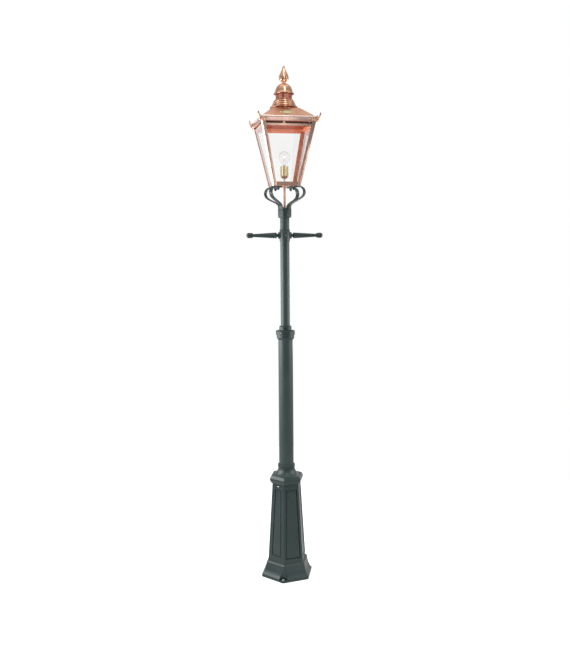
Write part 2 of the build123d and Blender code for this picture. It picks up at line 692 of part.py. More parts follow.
def bracket_arm(azimuth):
    """Bent strap from a broad pad on the hub up to a flat tip under the lantern."""
    pad_line = hub_radius + STRAP_THICKNESS / 2
    out_line = ARM_REACH - STRAP_THICKNESS / 2
    flat_line = lantern_z - STRAP_THICKNESS / 2
    root_z = hub_top_z + ARM_ROOT_RISE
    path = FilletPolyline(
        (pad_line, hub_z + PAD_CHAMFER),
        (pad_line, root_z),
        (out_line, root_z + ARM_SWEEP_RISE),
        (out_line, flat_line),
        (ARM_TIP, flat_line),
        radius=[ARM_ROOT_BEND, ARM_BEND, ARM_BEND],
    )
    section = Plane(origin=(pad_line, 0, hub_z + PAD_CHAMFER), x_dir=(0, 1, 0), z_dir=(0, 0, 1))
    strap = sweep(section * RectangleRounded(STRAP_WIDTH, STRAP_THICKNESS, STRAP_ROUND), Plane.XZ * path)
    shape = polygon(
        (-PAD_WIDTH / 2, hub_z),
        (PAD_WIDTH / 2, hub_z),
        (PAD_WIDTH / 2, hub_top_z - PAD_CHAMFER),
        (STRAP_WIDTH / 2, hub_top_z - PAD_CHAMFER + PAD_TAPER),
        (-STRAP_WIDTH / 2, hub_top_z - PAD_CHAMFER + PAD_TAPER),
        (-PAD_WIDTH / 2, hub_top_z - PAD_CHAMFER),
    )
    pad = extrude(facing(90, 0, 0) * shape, hub_radius + STRAP_THICKNESS)
    outer = hub_radius + STRAP_THICKNESS
    side = polygon(
        (hub_radius / 2, hub_z),
        (outer - PAD_CHAMFER, hub_z),
        (outer, hub_z + PAD_CHAMFER),
        (outer, hub_top_z + PAD_TAPER),
        (hub_radius / 2, hub_top_z + PAD_TAPER),
    )
    pad &= extrude(Plane.XZ * side, PAD_WIDTH, both=True)
    arm = strap + pad
    arm -= rod(hub_radius, hub_z - 1, hub_top_z + 2 * PAD_TAPER)
    hole = rod(BRACKET_BOLT_RADIUS + SCREW_FIT, lantern_z - 2 * STRAP_THICKNESS, lantern_z + 1)
    arm -= Pos(BRACKET_BOLT_REACH, 0, 0) * hole
    return turn(azimuth - 90) * arm


def bracket_bolts():
    """Bolts through the strap tips and the lantern's floor, heads inside."""
    shank = rod(BRACKET_BOLT_RADIUS, lantern_z - STRAP_THICKNESS - NUT_HEIGHT, plate_top_z)
    head = rod(BRACKET_HEAD_RADIUS, plate_top_z, plate_top_z + BRACKET_HEAD_HEIGHT)
    bolt = shank + fillet(head.edges().group_by(Axis.Z)[-1], BRACKET_HEAD_HEIGHT / 2)
    return Compound(children=[turn(a) * Pos(0, -BRACKET_BOLT_REACH, 0) * bolt for a in CORNERS.values()])


def bracket_nuts():
    """Domed nuts under the strap tips."""
    top_z = lantern_z - STRAP_THICKNESS
    low_z = top_z - NUT_HEIGHT
    nut = Pos(0, 0, low_z) * extrude(RegularPolygon(NUT_FLATS / 2, 6, major_radius=False), NUT_HEIGHT)
    tip_z = low_z - NUT_DOME_HEIGHT
    nut += rod(NUT_DOME_RADIUS, tip_z + NUT_DOME_RADIUS, low_z)
    nut += Pos(0, 0, tip_z + NUT_DOME_RADIUS) * Sphere(NUT_DOME_RADIUS)
    nut -= rod(BRACKET_BOLT_RADIUS + TUBE_FIT, low_z, top_z)
    return Compound(children=[turn(a) * Pos(0, -BRACKET_BOLT_REACH, 0) * nut for a in CORNERS.values()])


def conduit_tube():
    """Copper conduit from the hub's cap to the lantern's floor."""
    return tube(CONDUIT_RADIUS, CONDUIT_RADIUS - CONDUIT_WALL, upper_tube_top_z, plate_top_z)


def pane_face(height, depth, thick, margin):
    """Slice of a glazed side at the front: a thin rectangle at a level, inset from the corner lines."""
    half = body_half(height)
    wide = half - margin
    near = -half + depth
    return Pos(0, 0, height) * polygon((-wide, near), (wide, near), (wide, near + thick), (-wide, near + thick))


def side_plate(low, high, depth, thick, margin):
    """Flat plate at the front in the slope of the lantern's side, between two levels."""
    return loft([pane_face(low, depth, thick, margin), pane_face(high, depth, thick, margin)], ruled=True)


def corner_section():
    """Section of a corner post at the back right corner line: a cut-off corner and a groove each way."""
    inner = SHEET + groove_width
    half = [
        (0, CORNER_CUT),
        (0, post_tip),
        (SHEET, post_tip),
        (SHEET, groove_end),
        (inner, groove_end),
        (inner, post_tip),
        (post_depth, post_tip),
        (post_depth, post_depth),
    ]
    other = [(y, x) for x, y in reversed(half[:-1])]
    return polygon(*[(-x, -y) for x, y in half + other])


def corner_post(azimuth):
    """Folded copper corner post with a groove for each pane, leaning with the body."""
    half = body_half(lantern_z)
    rise = eaves_z - MOVING_FIT - lantern_z
    low = Pos(half, half, lantern_z) * corner_section()
    lean = Vector(glass_lean, glass_lean, 1)
    post = extrude(low, rise * lean.length, dir=lean)
    return turn(azimuth - 135) * post


def corner_notch():
    """Solid that keeps the corner posts' places free, all four corners."""
    half = body_half(lantern_z)
    rise = GLAZED_RISE + VENT_GAP
    deep = post_depth + GLASS_FIT
    reach = groove_end + GLASS_FIT
    points = ((1, 1), (1, -reach), (-deep, -reach), (-deep, -deep), (-reach, -deep), (-reach, 1))
    low = Pos(half, half, lantern_z) * polygon(*points)
    lean = Vector(glass_lean, glass_lean, 1)
    block = extrude(low, rise * lean.length, dir=lean)
    return [turn(a) * block for a in SIDES.values()]


def inner_flanges():
    """The posts' inner flanges, grown by the glazing room, all four corners."""
    half = body_half(lantern_z)
    lean = Vector(glass_lean, glass_lean, 1)
    near = SHEET + groove_width - GLASS_FIT
    deep = post_depth + GLASS_FIT
    tip = post_tip + GLASS_FIT
    strips = (
        polygon((-near, -near), (-near, -tip), (-deep, -tip), (-deep, -near)),
        polygon((-near, -near), (-tip, -near), (-tip, -deep), (-near, -deep)),
    )
    low = [Pos(half, half, lantern_z) * strip for strip in strips]
    bars = [extrude(face, (GLAZED_RISE + VENT_GAP) * lean.length, dir=lean) for face in low]
    return [turn(a) * bar for a in SIDES.values() for bar in bars]


def base_tray():
    """Folded copper floor of the lantern with an upstand on each side."""
    half = body_half(lantern_z) - SHEET
    wide = body_half(plate_top_z) - SHEET
    floor = loft(
        [Pos(0, 0, lantern_z) * Rectangle(2 * half, 2 * half), Pos(0, 0, plate_top_z) * Rectangle(2 * wide, 2 * wide)],
        ruled=True,
    )
    for notch in corner_notch() + inner_flanges():
        floor -= notch
    margin = groove_end + GLASS_FIT
    for azimuth in SIDES.values():
        floor += turn(azimuth) * side_plate(lantern_z, tray_top_z, SHEET + GLASS_FIT, glass_depth, margin)
    floor -= rod(CONDUIT_RADIUS + TUBE_FIT, lantern_z - 1, plate_top_z + 1)
    hole = rod(BRACKET_BOLT_RADIUS + SCREW_FIT, lantern_z - 1, plate_top_z + 1)
    for azimuth in CORNERS.values():
        floor -= turn(azimuth) * Pos(0, -BRACKET_BOLT_REACH, 0) * hole
    return floor


def glass_pane(azimuth):
    """Tapered pane in the grooves of two posts, standing on the tray's upstand."""
    margin = groove_end + GLASS_FIT
    return turn(azimuth) * side_plate(tray_top_z, top_rail_z, SHEET + GLASS_FIT, glass_depth, margin)


def top_frame():
    """Rails over the panes, joined by a flange that passes inside the posts and turns up at its inner edge."""
    flange_low = head_z - SHEET
    outer = body_half(flange_low) - SHEET - GLASS_FIT
    inner = outer - TOP_FLANGE_WIDTH
    edge = inner + SHEET
    mouth = Rectangle(2 * inner, 2 * inner)
    flange = Pos(0, 0, flange_low) * extrude(Rectangle(2 * outer, 2 * outer) - mouth, SHEET)
    for notch in corner_notch() + inner_flanges():
        flange -= notch
    flange += Pos(0, 0, flange_low) * extrude(Rectangle(2 * edge, 2 * edge) - mouth, SHEET + TOP_UPSTAND)
    margin = groove_end + GLASS_FIT
    for azimuth in SIDES.values():
        flange += turn(azimuth) * side_plate(top_rail_z, head_z, SHEET + GLASS_FIT, glass_depth, margin)
    return flange


def catch_tab():
    """Upright tab on the top frame that the eaves drop onto, left of the front's middle."""
    near = body_half(head_z) - SHEET - GLASS_FIT
    tab = Pos(CATCH_TAB_OFFSET, -near, head_z) * Box(
        CATCH_TAB_WIDTH, SHEET, VENT_GAP - MOVING_FIT, align=(Align.CENTER, Align.MIN, Align.MIN)
    )
    return tab


def eaves_outside():
    """Outer form of the eaves: lip, flat face and a rounded top bead."""
    bead_z = eaves_top_z - 2 * EAVES_BEAD
    face = Polyline(
        (0, eaves_z),
        (eaves_half + EAVES_LIP, eaves_z),
        (eaves_half + EAVES_LIP, eaves_z + EAVES_LIP_HEIGHT),
        (eaves_half, eaves_z + EAVES_LIP_HEIGHT + EAVES_LIP),
        (eaves_half, bead_z),
    )
    bead = ThreePointArc(
        (eaves_half, bead_z),
        (eaves_half + EAVES_LIP, bead_z + EAVES_BEAD),
        (roof_half, eaves_top_z),
    )
    close = Polyline((roof_half, eaves_top_z), (0, eaves_top_z), (0, eaves_z))
    return many_sided(face.edges() + bead.edges() + close.edges(), 4)


def eaves_fascia():
    """Folded eaves with a return at the bottom that rests over the corner posts."""
    inside = eaves_half - SHEET
    mouth = eaves_half - EAVES_RETURN
    hollow = Pos(0, 0, eaves_z + SHEET) * extrude(Rectangle(2 * inside, 2 * inside), EAVES_HEIGHT - 2 * SHEET)
    hollow += Pos(0, 0, eaves_z - 1) * extrude(Rectangle(2 * mouth, 2 * mouth), EAVES_HEIGHT + 2)
    return eaves_outside() - hollow


def roof_shell():
    """Hipped copper roof with a flat top and an open throat under the chimney."""
    deep = SHEET / sin(radians(ROOF_PITCH))
    top = ROOF_TOP_SIDE / 2
    levels = ((roof_half, top, roof_top_z), (roof_half - deep, top - deep + SHEET / roof_slope, roof_top_z - SHEET))
    forms = []
    for foot, head, head_level in levels:
        low = Pos(0, 0, eaves_top_z) * Rectangle(2 * foot, 2 * foot)
        high = Pos(0, 0, head_level) * Rectangle(2 * head, 2 * head)
        forms.append(loft([low, high], ruled=True))
    throat = Pos(0, 0, roof_top_z) * Box(THROAT_SIDE, THROAT_SIDE, 4 * SHEET)
    return forms[0] - forms[1] - throat


def fascia_screws():
    """Round-headed screws in the middle of the front and back eaves."""
    height = eaves_z + EAVES_HEIGHT / 2
    screws = []
    for azimuth in (0, 180):
        head = extrude(facing(azimuth, eaves_half, height) * Circle(FASCIA_SCREW_RADIUS), FASCIA_SCREW_HEIGHT)
        screws.append(fillet(head.edges().group_by(Axis.Y)[0 if azimuth == 0 else -1], FASCIA_SCREW_HEIGHT / 2))
    return Compound(children=screws)


def corner_leaf(azimuth):
    """Cast leaf over an eaves corner: a lobe along each side and a spike leaning out."""
    low = eaves_z - LEAF_FOOT_DROP
    mid = eaves_z + EAVES_HEIGHT * 0.42
    top = eaves_top_z - EAVES_BEAD
    upper = ThreePointArc((0, top), (LEAF_LENGTH * 0.5, top - 2), (LEAF_LENGTH, mid))
    lower = ThreePointArc((LEAF_LENGTH, mid), (LEAF_LENGTH * 0.5, eaves_z + 1), (0, low))
    lobe_face = make_face(upper.edges() + lower.edges() + Line((0, low), (0, top)).edges())
    outer = eaves_half + EAVES_LIP + LEAF_THICKNESS / 2
    place = Plane(origin=(-outer, -outer, 0), x_dir=(1, 0, 0), z_dir=(0, -1, 0))
    lobe = extrude(place * lobe_face, eaves_half - outer)
    leaf = lobe + mirror(lobe, about=Plane(origin=(0, 0, 0), z_dir=(1, -1, 0)))
    root = outer * sqrt(2)
    tip_z = eaves_z + LEAF_TIP_RISE
    spike_face = polygon(
        (root - LEAF_SPIKE_WIDTH, low),
        (root + 1, low),
        (root + LEAF_SPIKE_BACK, eaves_z + EAVES_HEIGHT * 0.75),
        (LEAF_TIP_REACH, tip_z),
        (root + LEAF_SPIKE_DEPTH, tip_z - LEAF_SPIKE_DEPTH),
        (root - 1, top + 2),
        (root - LEAF_SPIKE_WIDTH, top),
    )
    spike = extrude(Plane.XZ * spike_face, LEAF_SPIKE_WIDTH / 2, both=True)
    leaf += turn(-135) * spike
    leaf -= eaves_outside()
    return turn(azimuth + 45) * leaf


def chimney_skirt():
    """Skirt in three swelled tiers over a set-back foot that stands on the roof's flat top."""
    foot = roof_top_z
    top = foot + SKIRT_HEIGHT
    rim_z = foot + SKIRT_FOOT_HEIGHT
    level = rim_z + SKIRT_RIM_HEIGHT
    start = (SKIRT_FOOT_RADIUS - 2 * SHEET, foot)
    last = (SKIRT_RIM_RADIUS, level)
    edges = Polyline(
        start,
        (SKIRT_FOOT_RADIUS, foot),
        (SKIRT_FOOT_RADIUS, rim_z),
        (SKIRT_RIM_RADIUS, rim_z),
        last,
    ).edges()
    for radius in SKIRT_TIER_RADII:
        head = (radius - SKIRT_TIER_DRAW, level + SKIRT_TIER_HEIGHT)
        middle = (radius - SKIRT_TIER_DRAW / 2 + SKIRT_TIER_SWELL, level + SKIRT_TIER_HEIGHT / 2)
        edges = edges + Line(last, (radius, level)).edges()
        edges = edges + ThreePointArc((radius, level), middle, head).edges()
        last = head
        level += SKIRT_TIER_HEIGHT
    inner = VENT_NECK_RADIUS - 2 * SHEET
    inside = Polyline(
        last,
        (SKIRT_HEAD_RADIUS, top),
        (inner, top),
        (inner, top - 2 * SHEET),
        (last[0] - 3 * SHEET, last[1] - SHEET),
        (SKIRT_FOOT_RADIUS - 2 * SHEET, rim_z + SKIRT_RIM_HEIGHT),
        start,
    )
    return turned(*edges, *inside.edges())


def vent_neck():
    """Short pipe between the skirt and the dome."""
    return tube(VENT_NECK_RADIUS, VENT_NECK_RADIUS - SHEET, vent_neck_z, dome_z + DOME_CEILING)


def dome_cap():
    """Bell-shaped cap over the vent, hollow, with a flat ceiling that sits on the pipe."""
    waist = (DOME_WAIST_RADIUS, dome_z + DOME_WAIST_HEIGHT)
    top = dome_z + DOME_HEIGHT
    rim = Polyline(
        (DOME_RIM_RADIUS - 2 * SHEET, dome_z),
        (DOME_RIM_RADIUS, dome_z),
        (DOME_RIM_RADIUS, dome_z + DOME_RIM_HEIGHT),
    )
    flare = RadiusArc((DOME_RIM_RADIUS, dome_z + DOME_RIM_HEIGHT), waist, 1.6 * DOME_WAIST_HEIGHT)
    crown = ThreePointArc(
        waist,
        (DOME_WAIST_RADIUS * 0.8, dome_z + DOME_HEIGHT * 0.69),
        (DOME_HEAD_RADIUS, top),
    )
    inside = Polyline(
        (DOME_HEAD_RADIUS, top),
        (0, top),
        (0, dome_z + DOME_CEILING + 6 * SHEET),
        (VENT_NECK_RADIUS - 6 * SHEET, dome_z + DOME_CEILING),
        (VENT_NECK_RADIUS, dome_z + DOME_CEILING),
        (DOME_WAIST_RADIUS - 2 * SHEET, dome_z + DOME_WAIST_HEIGHT),
        (DOME_RIM_RADIUS - 2 * SHEET, dome_z),
    )
    return turned(*rim.edges(), *flare.edges(), *crown.edges(), *inside.edges())


def finial():
    """Finial: a neck and a drop drawn up into a spire, with a ring of round lobes on its lower half."""
    foot = finial_z
    neck = (FINIAL_NECK_RADIUS, foot + FINIAL_NECK_HEIGHT)
    drop = (FINIAL_DROP_RADIUS, foot + FINIAL_DROP_HEIGHT)
    spire = (FINIAL_SPIRE_RADIUS, foot + FINIAL_SPIRE_HEIGHT)
    tip_z = foot + FINIAL_HEIGHT
    root = Polyline((0, foot), (DOME_HEAD_RADIUS, foot), neck)
    swell = ThreePointArc(
        neck,
        (FINIAL_DROP_RADIUS * 0.78, foot + (FINIAL_NECK_HEIGHT + FINIAL_DROP_HEIGHT) / 2),
        drop,
    )
    drawn = ThreePointArc(
        drop,
        (FINIAL_DROP_RADIUS * 0.74, foot + (FINIAL_DROP_HEIGHT + FINIAL_SPIRE_HEIGHT) / 2),
        spire,
    )
    shoulder = (FINIAL_TIP_RADIUS, tip_z - FINIAL_TIP_RADIUS)
    shaft = Line(spire, shoulder)
    point = RadiusArc(shoulder, (0, tip_z), -FINIAL_TIP_RADIUS)
    axis = Line((0, tip_z), (0, foot))
    pieces = (root, swell, drawn, shaft, point, axis)
    form = turned(*[edge for piece in pieces for edge in piece.edges()])
    lobe = Pos(0, -FINIAL_LOBE_REACH, foot + FINIAL_LOBE_HEIGHT) * Sphere(FINIAL_LOBE_RADIUS)
    for index in range(FINIAL_LOBES):
        form += turn(FINIAL_LOBE_TURN + index * 360 / FINIAL_LOBES) * lobe
    return form


def hinge_barrel(low, high):
    """Stretch of hinge barrel along X, bored for the pin."""
    ring = Circle(HINGE_BARREL_RADIUS) - Circle(HINGE_PIN_RADIUS + HINGE_PIN_FIT)
    place = Plane(origin=(low, hinge_y, hinge_z), x_dir=(0, 1, 0), z_dir=(1, 0, 0))
    return extrude(place * ring, high - low)


def hinge_plate(low, high, points):
    """Stretch of hinge leaf along X from an outline in (y, z), kept off the pin."""
    place = Plane(origin=(low, 0, 0), x_dir=(0, 1, 0), z_dir=(1, 0, 0))
    plate = extrude(place * polygon(*points), high - low)
    bore = Plane(origin=(low - 1, hinge_y, hinge_z), x_dir=(0, 1, 0), z_dir=(1, 0, 0))
    return plate - extrude(bore * Circle(HINGE_BARREL_RADIUS - HINGE_LAP), high - low + 2)


def hinge_leaf_fixed():
    """Lower hinge leaf on the back of the top frame, with the two outer knuckles."""
    near = body_half(head_z) - TOP_FLANGE_WIDTH
    half = HINGE_WIDTH / 2
    plate_top = head_z + HINGE_LEAF
    points = ((near, head_z), (hinge_y, head_z), (hinge_y, plate_top), (near, plate_top))
    leaf = hinge_plate(-half, half, points)
    gap = HINGE_MIDDLE / 2
    leaf -= Pos(0, hinge_y, hinge_z) * Rot(0, 90, 0) * Cylinder(HINGE_BARREL_RADIUS + MOVING_FIT, HINGE_MIDDLE)
    for low, high in ((-half, -gap), (gap, half)):
        leaf += hinge_barrel(low, high)
    return leaf


def hinge_leaf_moving():
    """Upper hinge leaf under the eaves return, with the middle knuckle."""
    half = HINGE_MIDDLE / 2 - MOVING_FIT
    near = eaves_half - EAVES_RETURN
    plate_low = eaves_z - HINGE_LEAF
    points = (
        (near, plate_low),
        (hinge_y - HINGE_LEAF, plate_low),
        (hinge_y - HINGE_LEAF, hinge_z),
        (hinge_y, hinge_z),
        (hinge_y, eaves_z),
        (near, eaves_z),
    )
    return hinge_plate(-half, half, points) + hinge_barrel(-half, half)


def hinge_pin():
    """Pin through the hinge."""
    return Pos(0, hinge_y, hinge_z) * Rot(0, 90, 0) * Cylinder(HINGE_PIN_RADIUS, HINGE_WIDTH)


def holder_stem():
    """Threaded tube from the lantern's floor to the lampholder."""
    return tube(STEM_RADIUS, STEM_BORE, plate_top_z, plate_top_z + STEM_HEIGHT)


def stem_locknut():
    """Hexagon locknut on the lantern's floor."""
    body = extrude(RegularPolygon(LOCKNUT_FLATS / 2, 6, major_radius=False), LOCKNUT_HEIGHT)
    body -= Cylinder(STEM_RADIUS + TUBE_FIT, 3 * LOCKNUT_HEIGHT)
    return Pos(0, 0, plate_top_z) * body


def holder_cup():
    """Rounded brass cup at the bottom of the lampholder."""
    stem = STEM_RADIUS + TUBE_FIT
    shoulder_z = cup_z + HOLDER_CUP_HEIGHT * 0.62
    outside = ThreePointArc(
        (stem + 2, cup_z),
        (HOLDER_RADIUS * 0.8, cup_z + HOLDER_CUP_HEIGHT * 0.27),
        (HOLDER_RADIUS, shoulder_z),
    )
    inside = ThreePointArc(
        (HOLDER_RADIUS - HOLDER_WALL, shoulder_z),
        (HOLDER_RADIUS * 0.8 - HOLDER_WALL, cup_z + HOLDER_CUP_HEIGHT * 0.27 + HOLDER_WALL),
        (stem, cup_z + 2 * HOLDER_WALL),
    )
    wall = Polyline(
        (HOLDER_RADIUS, shoulder_z),
        (HOLDER_RADIUS, holder_ring_z),
        (HOLDER_RADIUS - HOLDER_WALL, holder_ring_z),
        (HOLDER_RADIUS - HOLDER_WALL, shoulder_z),
    )
    hole = Polyline((stem, cup_z + 2 * HOLDER_WALL), (stem, cup_z), (stem + 2, cup_z))
    return turned(*outside.edges(), *wall.edges(), *inside.edges(), *hole.edges())


def holder_ring():
    """Ring that joins the lampholder's cup and shell."""
    bore = HOLDER_RADIUS - HOLDER_WALL - 1
    return tube(HOLDER_RING_RADIUS, bore, holder_ring_z, shell_z)


def holder_shell():
    """Brass shell of the lampholder with a rolled top edge."""
    inner = HOLDER_RADIUS - HOLDER_WALL
    shell = tube(HOLDER_RADIUS, inner, shell_z, shell_top_z)
    return shell + tube(HOLDER_RADIUS + 0.8, inner, shell_top_z - 2.5, shell_top_z)


def holder_insert():
    """Porcelain insert that the bulb's cap screws into."""
    low = shell_top_z - BULB_CAP_HEIGHT - INSERT_FLOOR
    outer = HOLDER_RADIUS - HOLDER_WALL - TUBE_FIT
    body = rod(outer, max(low, shell_z), shell_top_z - 1)
    return body - rod(BULB_CAP_RADIUS + MOVING_FIT, low + INSERT_FLOOR, shell_top_z + 1)


def bulb_cap():
    """Screw cap of the bulb."""
    low = shell_top_z - BULB_CAP_HEIGHT
    outline = Polyline(
        (0, low),
        (BULB_CAP_RADIUS * 0.36, low),
        (BULB_CAP_RADIUS * 0.42, low + 3),
        (BULB_CAP_RADIUS, low + 6),
        (BULB_CAP_RADIUS, shell_top_z),
        (0, shell_top_z),
        close=True,
    )
    return turned(*outline.edges())


def bulb_shape(shrink):
    """Outline of a pear-shaped bulb, drawn in by a wall's thickness."""
    centre = shell_top_z + BULB_SHOWN - BULB_RADIUS
    radius = BULB_RADIUS - shrink
    neck = BULB_NECK_RADIUS - shrink
    foot_z = shell_top_z
    neck_z = shell_top_z + BULB_NECK_HEIGHT
    low = radians(-BULB_JOIN)
    join = (radius * cos(low), centre + radius * sin(low))
    throat = ThreePointArc(
        (neck, neck_z),
        (neck + (join[0] - neck) * 0.38, neck_z + (join[1] - neck_z) * 0.55),
        join,
    )
    globe = ThreePointArc(join, (radius, centre), (0, centre + radius))
    rest = Polyline((0, centre + radius), (0, foot_z), (neck, foot_z), (neck, neck_z))
    return turned(*throat.edges(), *globe.edges(), *rest.edges())


def bulb_glass():
    """Clear glass envelope on the cap."""
    return bulb_shape(0) - bulb_shape(BULB_WALL)


parts = {
    "base_casting": base_casting(),
    "inspection_door": inspection_door(),
    "door_screw": door_screw(),
    "terminal_plate": terminal_plate(),
    "terminal_block": terminal_block(),
    "lower_tube": lower_tube(),
    "collar_casting": collar_casting(),
    "collar_screws": collar_screws(),
    "upper_tube": upper_tube(),
    "ladder_sleeve": ladder_sleeve(),
    "ladder_arm_left": ladder_arm(-1),
    "ladder_arm_right": ladder_arm(1),
    "ladder_screw": ladder_screw(),
    "bracket_hub": bracket_hub(),
    "bracket_bolts": bracket_bolts(),
    "bracket_nuts": bracket_nuts(),
    "conduit_tube": conduit_tube(),
    "base_tray": base_tray(),
    "top_frame": top_frame(),
    "catch_tab": catch_tab(),
    "eaves_fascia": eaves_fascia(),
    "roof_shell": roof_shell(),
    "fascia_screws": fascia_screws(),
    "chimney_skirt": chimney_skirt(),
    "vent_neck": vent_neck(),
    "dome_cap": dome_cap(),
    "finial": finial(),
    "hinge_leaf_fixed": hinge_leaf_fixed(),
    "hinge_leaf_moving": hinge_leaf_moving(),
    "hinge_pin": hinge_pin(),
    "holder_stem": holder_stem(),
    "stem_locknut": stem_locknut(),
    "holder_cup": holder_cup(),
    "holder_ring": holder_ring(),
    "holder_shell": holder_shell(),
    "holder_insert": holder_insert(),
    "bulb_cap": bulb_cap(),
    "bulb_glass": bulb_glass(),
}
for corner, azimuth in CORNERS.items():
    parts["bracket_arm_" + corner] = bracket_arm(azimuth)
    parts["corner_post_" + corner] = corner_post(azimuth)
    parts["corner_leaf_" + corner] = corner_leaf(azimuth)
for side, azimuth in SIDES.items():
    parts["glass_pane_" + side] = glass_pane(azimuth)

os.makedirs("parts", exist_ok=True)
for name, shape in parts.items():
    export_step(shape, f"parts/{name}.step")
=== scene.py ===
import bmesh
import bpy
import numpy as np
from math import cos, pi, radians, sin
from mathutils import Euler, Matrix, Vector


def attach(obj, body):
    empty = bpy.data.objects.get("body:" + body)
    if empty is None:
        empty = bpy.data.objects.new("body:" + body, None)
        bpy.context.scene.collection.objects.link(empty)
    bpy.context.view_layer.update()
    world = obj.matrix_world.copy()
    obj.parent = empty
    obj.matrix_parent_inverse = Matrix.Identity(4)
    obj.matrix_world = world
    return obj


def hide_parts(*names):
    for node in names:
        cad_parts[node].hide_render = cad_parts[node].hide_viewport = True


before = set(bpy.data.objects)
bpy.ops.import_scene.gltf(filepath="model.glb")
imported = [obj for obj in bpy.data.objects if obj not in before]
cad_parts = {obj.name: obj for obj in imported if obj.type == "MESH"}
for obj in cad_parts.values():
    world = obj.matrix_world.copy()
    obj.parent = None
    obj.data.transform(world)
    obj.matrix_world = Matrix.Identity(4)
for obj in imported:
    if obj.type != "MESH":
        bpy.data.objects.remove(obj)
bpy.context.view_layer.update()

# Cast base
# One hollow aluminium casting with panels sunk by the mould, painted satin grey-green over a faintly
# pebbled skin. It stands on the ground on a foot that flares in a hollow curve, and takes the lower tube
# in a socket at its top.
MM = 0.001
paint_colour = (0.019, 0.038, 0.036, 1)
paint_thin_colour = (0.026, 0.046, 0.044, 1)
dust_colour = (0.090, 0.100, 0.095, 1)
cast_pebble = 0.12 * MM
face_count = 6
door_face_azimuth = -49.4
face_azimuths = np.radians(door_face_azimuth + 360 / face_count * np.arange(face_count))
foot_levels = np.array([15, 24, 34, 44, 58, 71, 74, 80]) * MM
straight_bends = np.array([15, 71, 80]) * MM
straight_flats = np.interp(foot_levels, straight_bends, np.array([120, 97, 89.25]) * MM)
curved_flats = np.array([120, 112.5, 106, 102.8, 100.2, 97.6, 94.4, 89.25]) * MM
curved_levels = np.array([15, 24.5, 35, 45.5, 59, 73.4, 77.4, 80]) * MM
skin_reach = 1.5 * MM
merge_gap = 1e-6


class Wire:
    """A shader socket that takes part in sums: an operator adds a Math node, node() adds any other node."""

    def __init__(self, tree, socket=None):
        self.tree = tree
        self.socket = socket

    def node(self, kind, settings=None, inputs=None, out=0):
        """New node of a kind: settings first, then each input by a number, a colour or a wire."""
        made = self.tree.nodes.new("ShaderNode" + kind)
        for key, value in (settings or {}).items():
            setattr(made, key, value)
        for key, value in (inputs or {}).items():
            if isinstance(value, Wire):
                self.tree.links.new(value.socket, made.inputs[key])
            else:
                made.inputs[key].default_value = value
        return None if out is None else Wire(self.tree, made.outputs[out])

    def math(self, operation, first, second=0.0):
        """Math node of an operation on one or two values."""
        return self.node("Math", {"operation": operation}, {0: first, 1: second})

    def __add__(self, other):
        return self.math("ADD", self, other)

    def __radd__(self, other):
        return self.math("ADD", other, self)

    def __sub__(self, other):
        return self.math("SUBTRACT", self, other)

    def __rsub__(self, other):
        return self.math("SUBTRACT", other, self)

    def __mul__(self, other):
        return self.math("MULTIPLY", self, other)

    def __rmul__(self, other):
        return self.math("MULTIPLY", other, self)

    def between(self, low, high):
        """0 below low, 1 above high, a smooth ramp from one to the other."""
        settings = {"interpolation_type": "SMOOTHSTEP"}
        return self.node("MapRange", settings, {"Value": self, "From Min": low, "From Max": high})

    def tint(self, first, second):
        """Colour that goes from the first to the second as this value goes from 0 to 1."""
        return self.node("Mix", {"data_type": "RGBA"}, {0: self, 6: first, 7: second}, 2)

    def noise(self, scale, detail=2.0):
        """Cloudy value about one half, read at this place, with scale patches to a metre."""
        return self.node("TexNoise", None, {"Vector": self, "Scale": scale, "Detail": detail})

    def axis(self, name):
        """One of the X, Y and Z of a vector."""
        return self.node("SeparateXYZ", None, {0: self}, name)

    def bump(self, distance):
        """Normal of a surface raised by this value times a distance in metres."""
        return self.node("Bump", None, {"Strength": 1.0, "Distance": distance, "Height": self})


def new_finish(name):
    """Empty node material and a wire to build it with."""
    material = bpy.data.materials.new(name)
    material.use_nodes = True
    material.node_tree.nodes.clear()
    return material, Wire(material.node_tree)


def satin_paint(name, pebble, thick, thin):
    """Satin paint: cloudy tone, dust on what faces up, and a skin raised by fine and coarse noise."""
    material, wire = new_finish(name)
    place = wire.node("TexCoord", out="Object")
    facing_up = wire.node("TexCoord", out="Normal").axis("Z")
    cloud = place.noise(6.0, 4.0)
    speck = place.noise(260.0)
    dust = facing_up.between(0.55, 0.95) * place.noise(35.0, 3.0) * 0.25
    colour = dust.tint(cloud.between(0.35, 0.65).tint(thick, thin), dust_colour)
    height = speck + 0.5 * place.noise(700.0)
    shader = wire.node("BsdfPrincipled", None, {
        "Base Color": colour,
        "Roughness": 0.30 + 0.08 * cloud + 0.20 * dust,
        "Specular IOR Level": 0.45,
        "Normal": height.bump(pebble),
    })
    wire.node("OutputMaterial", None, {"Surface": shader}, None)
    return material


def finish_nodes(material, *names):
    """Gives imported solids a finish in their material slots."""
    for name in names:
        for material_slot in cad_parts[name].material_slots:
            material_slot.material = material


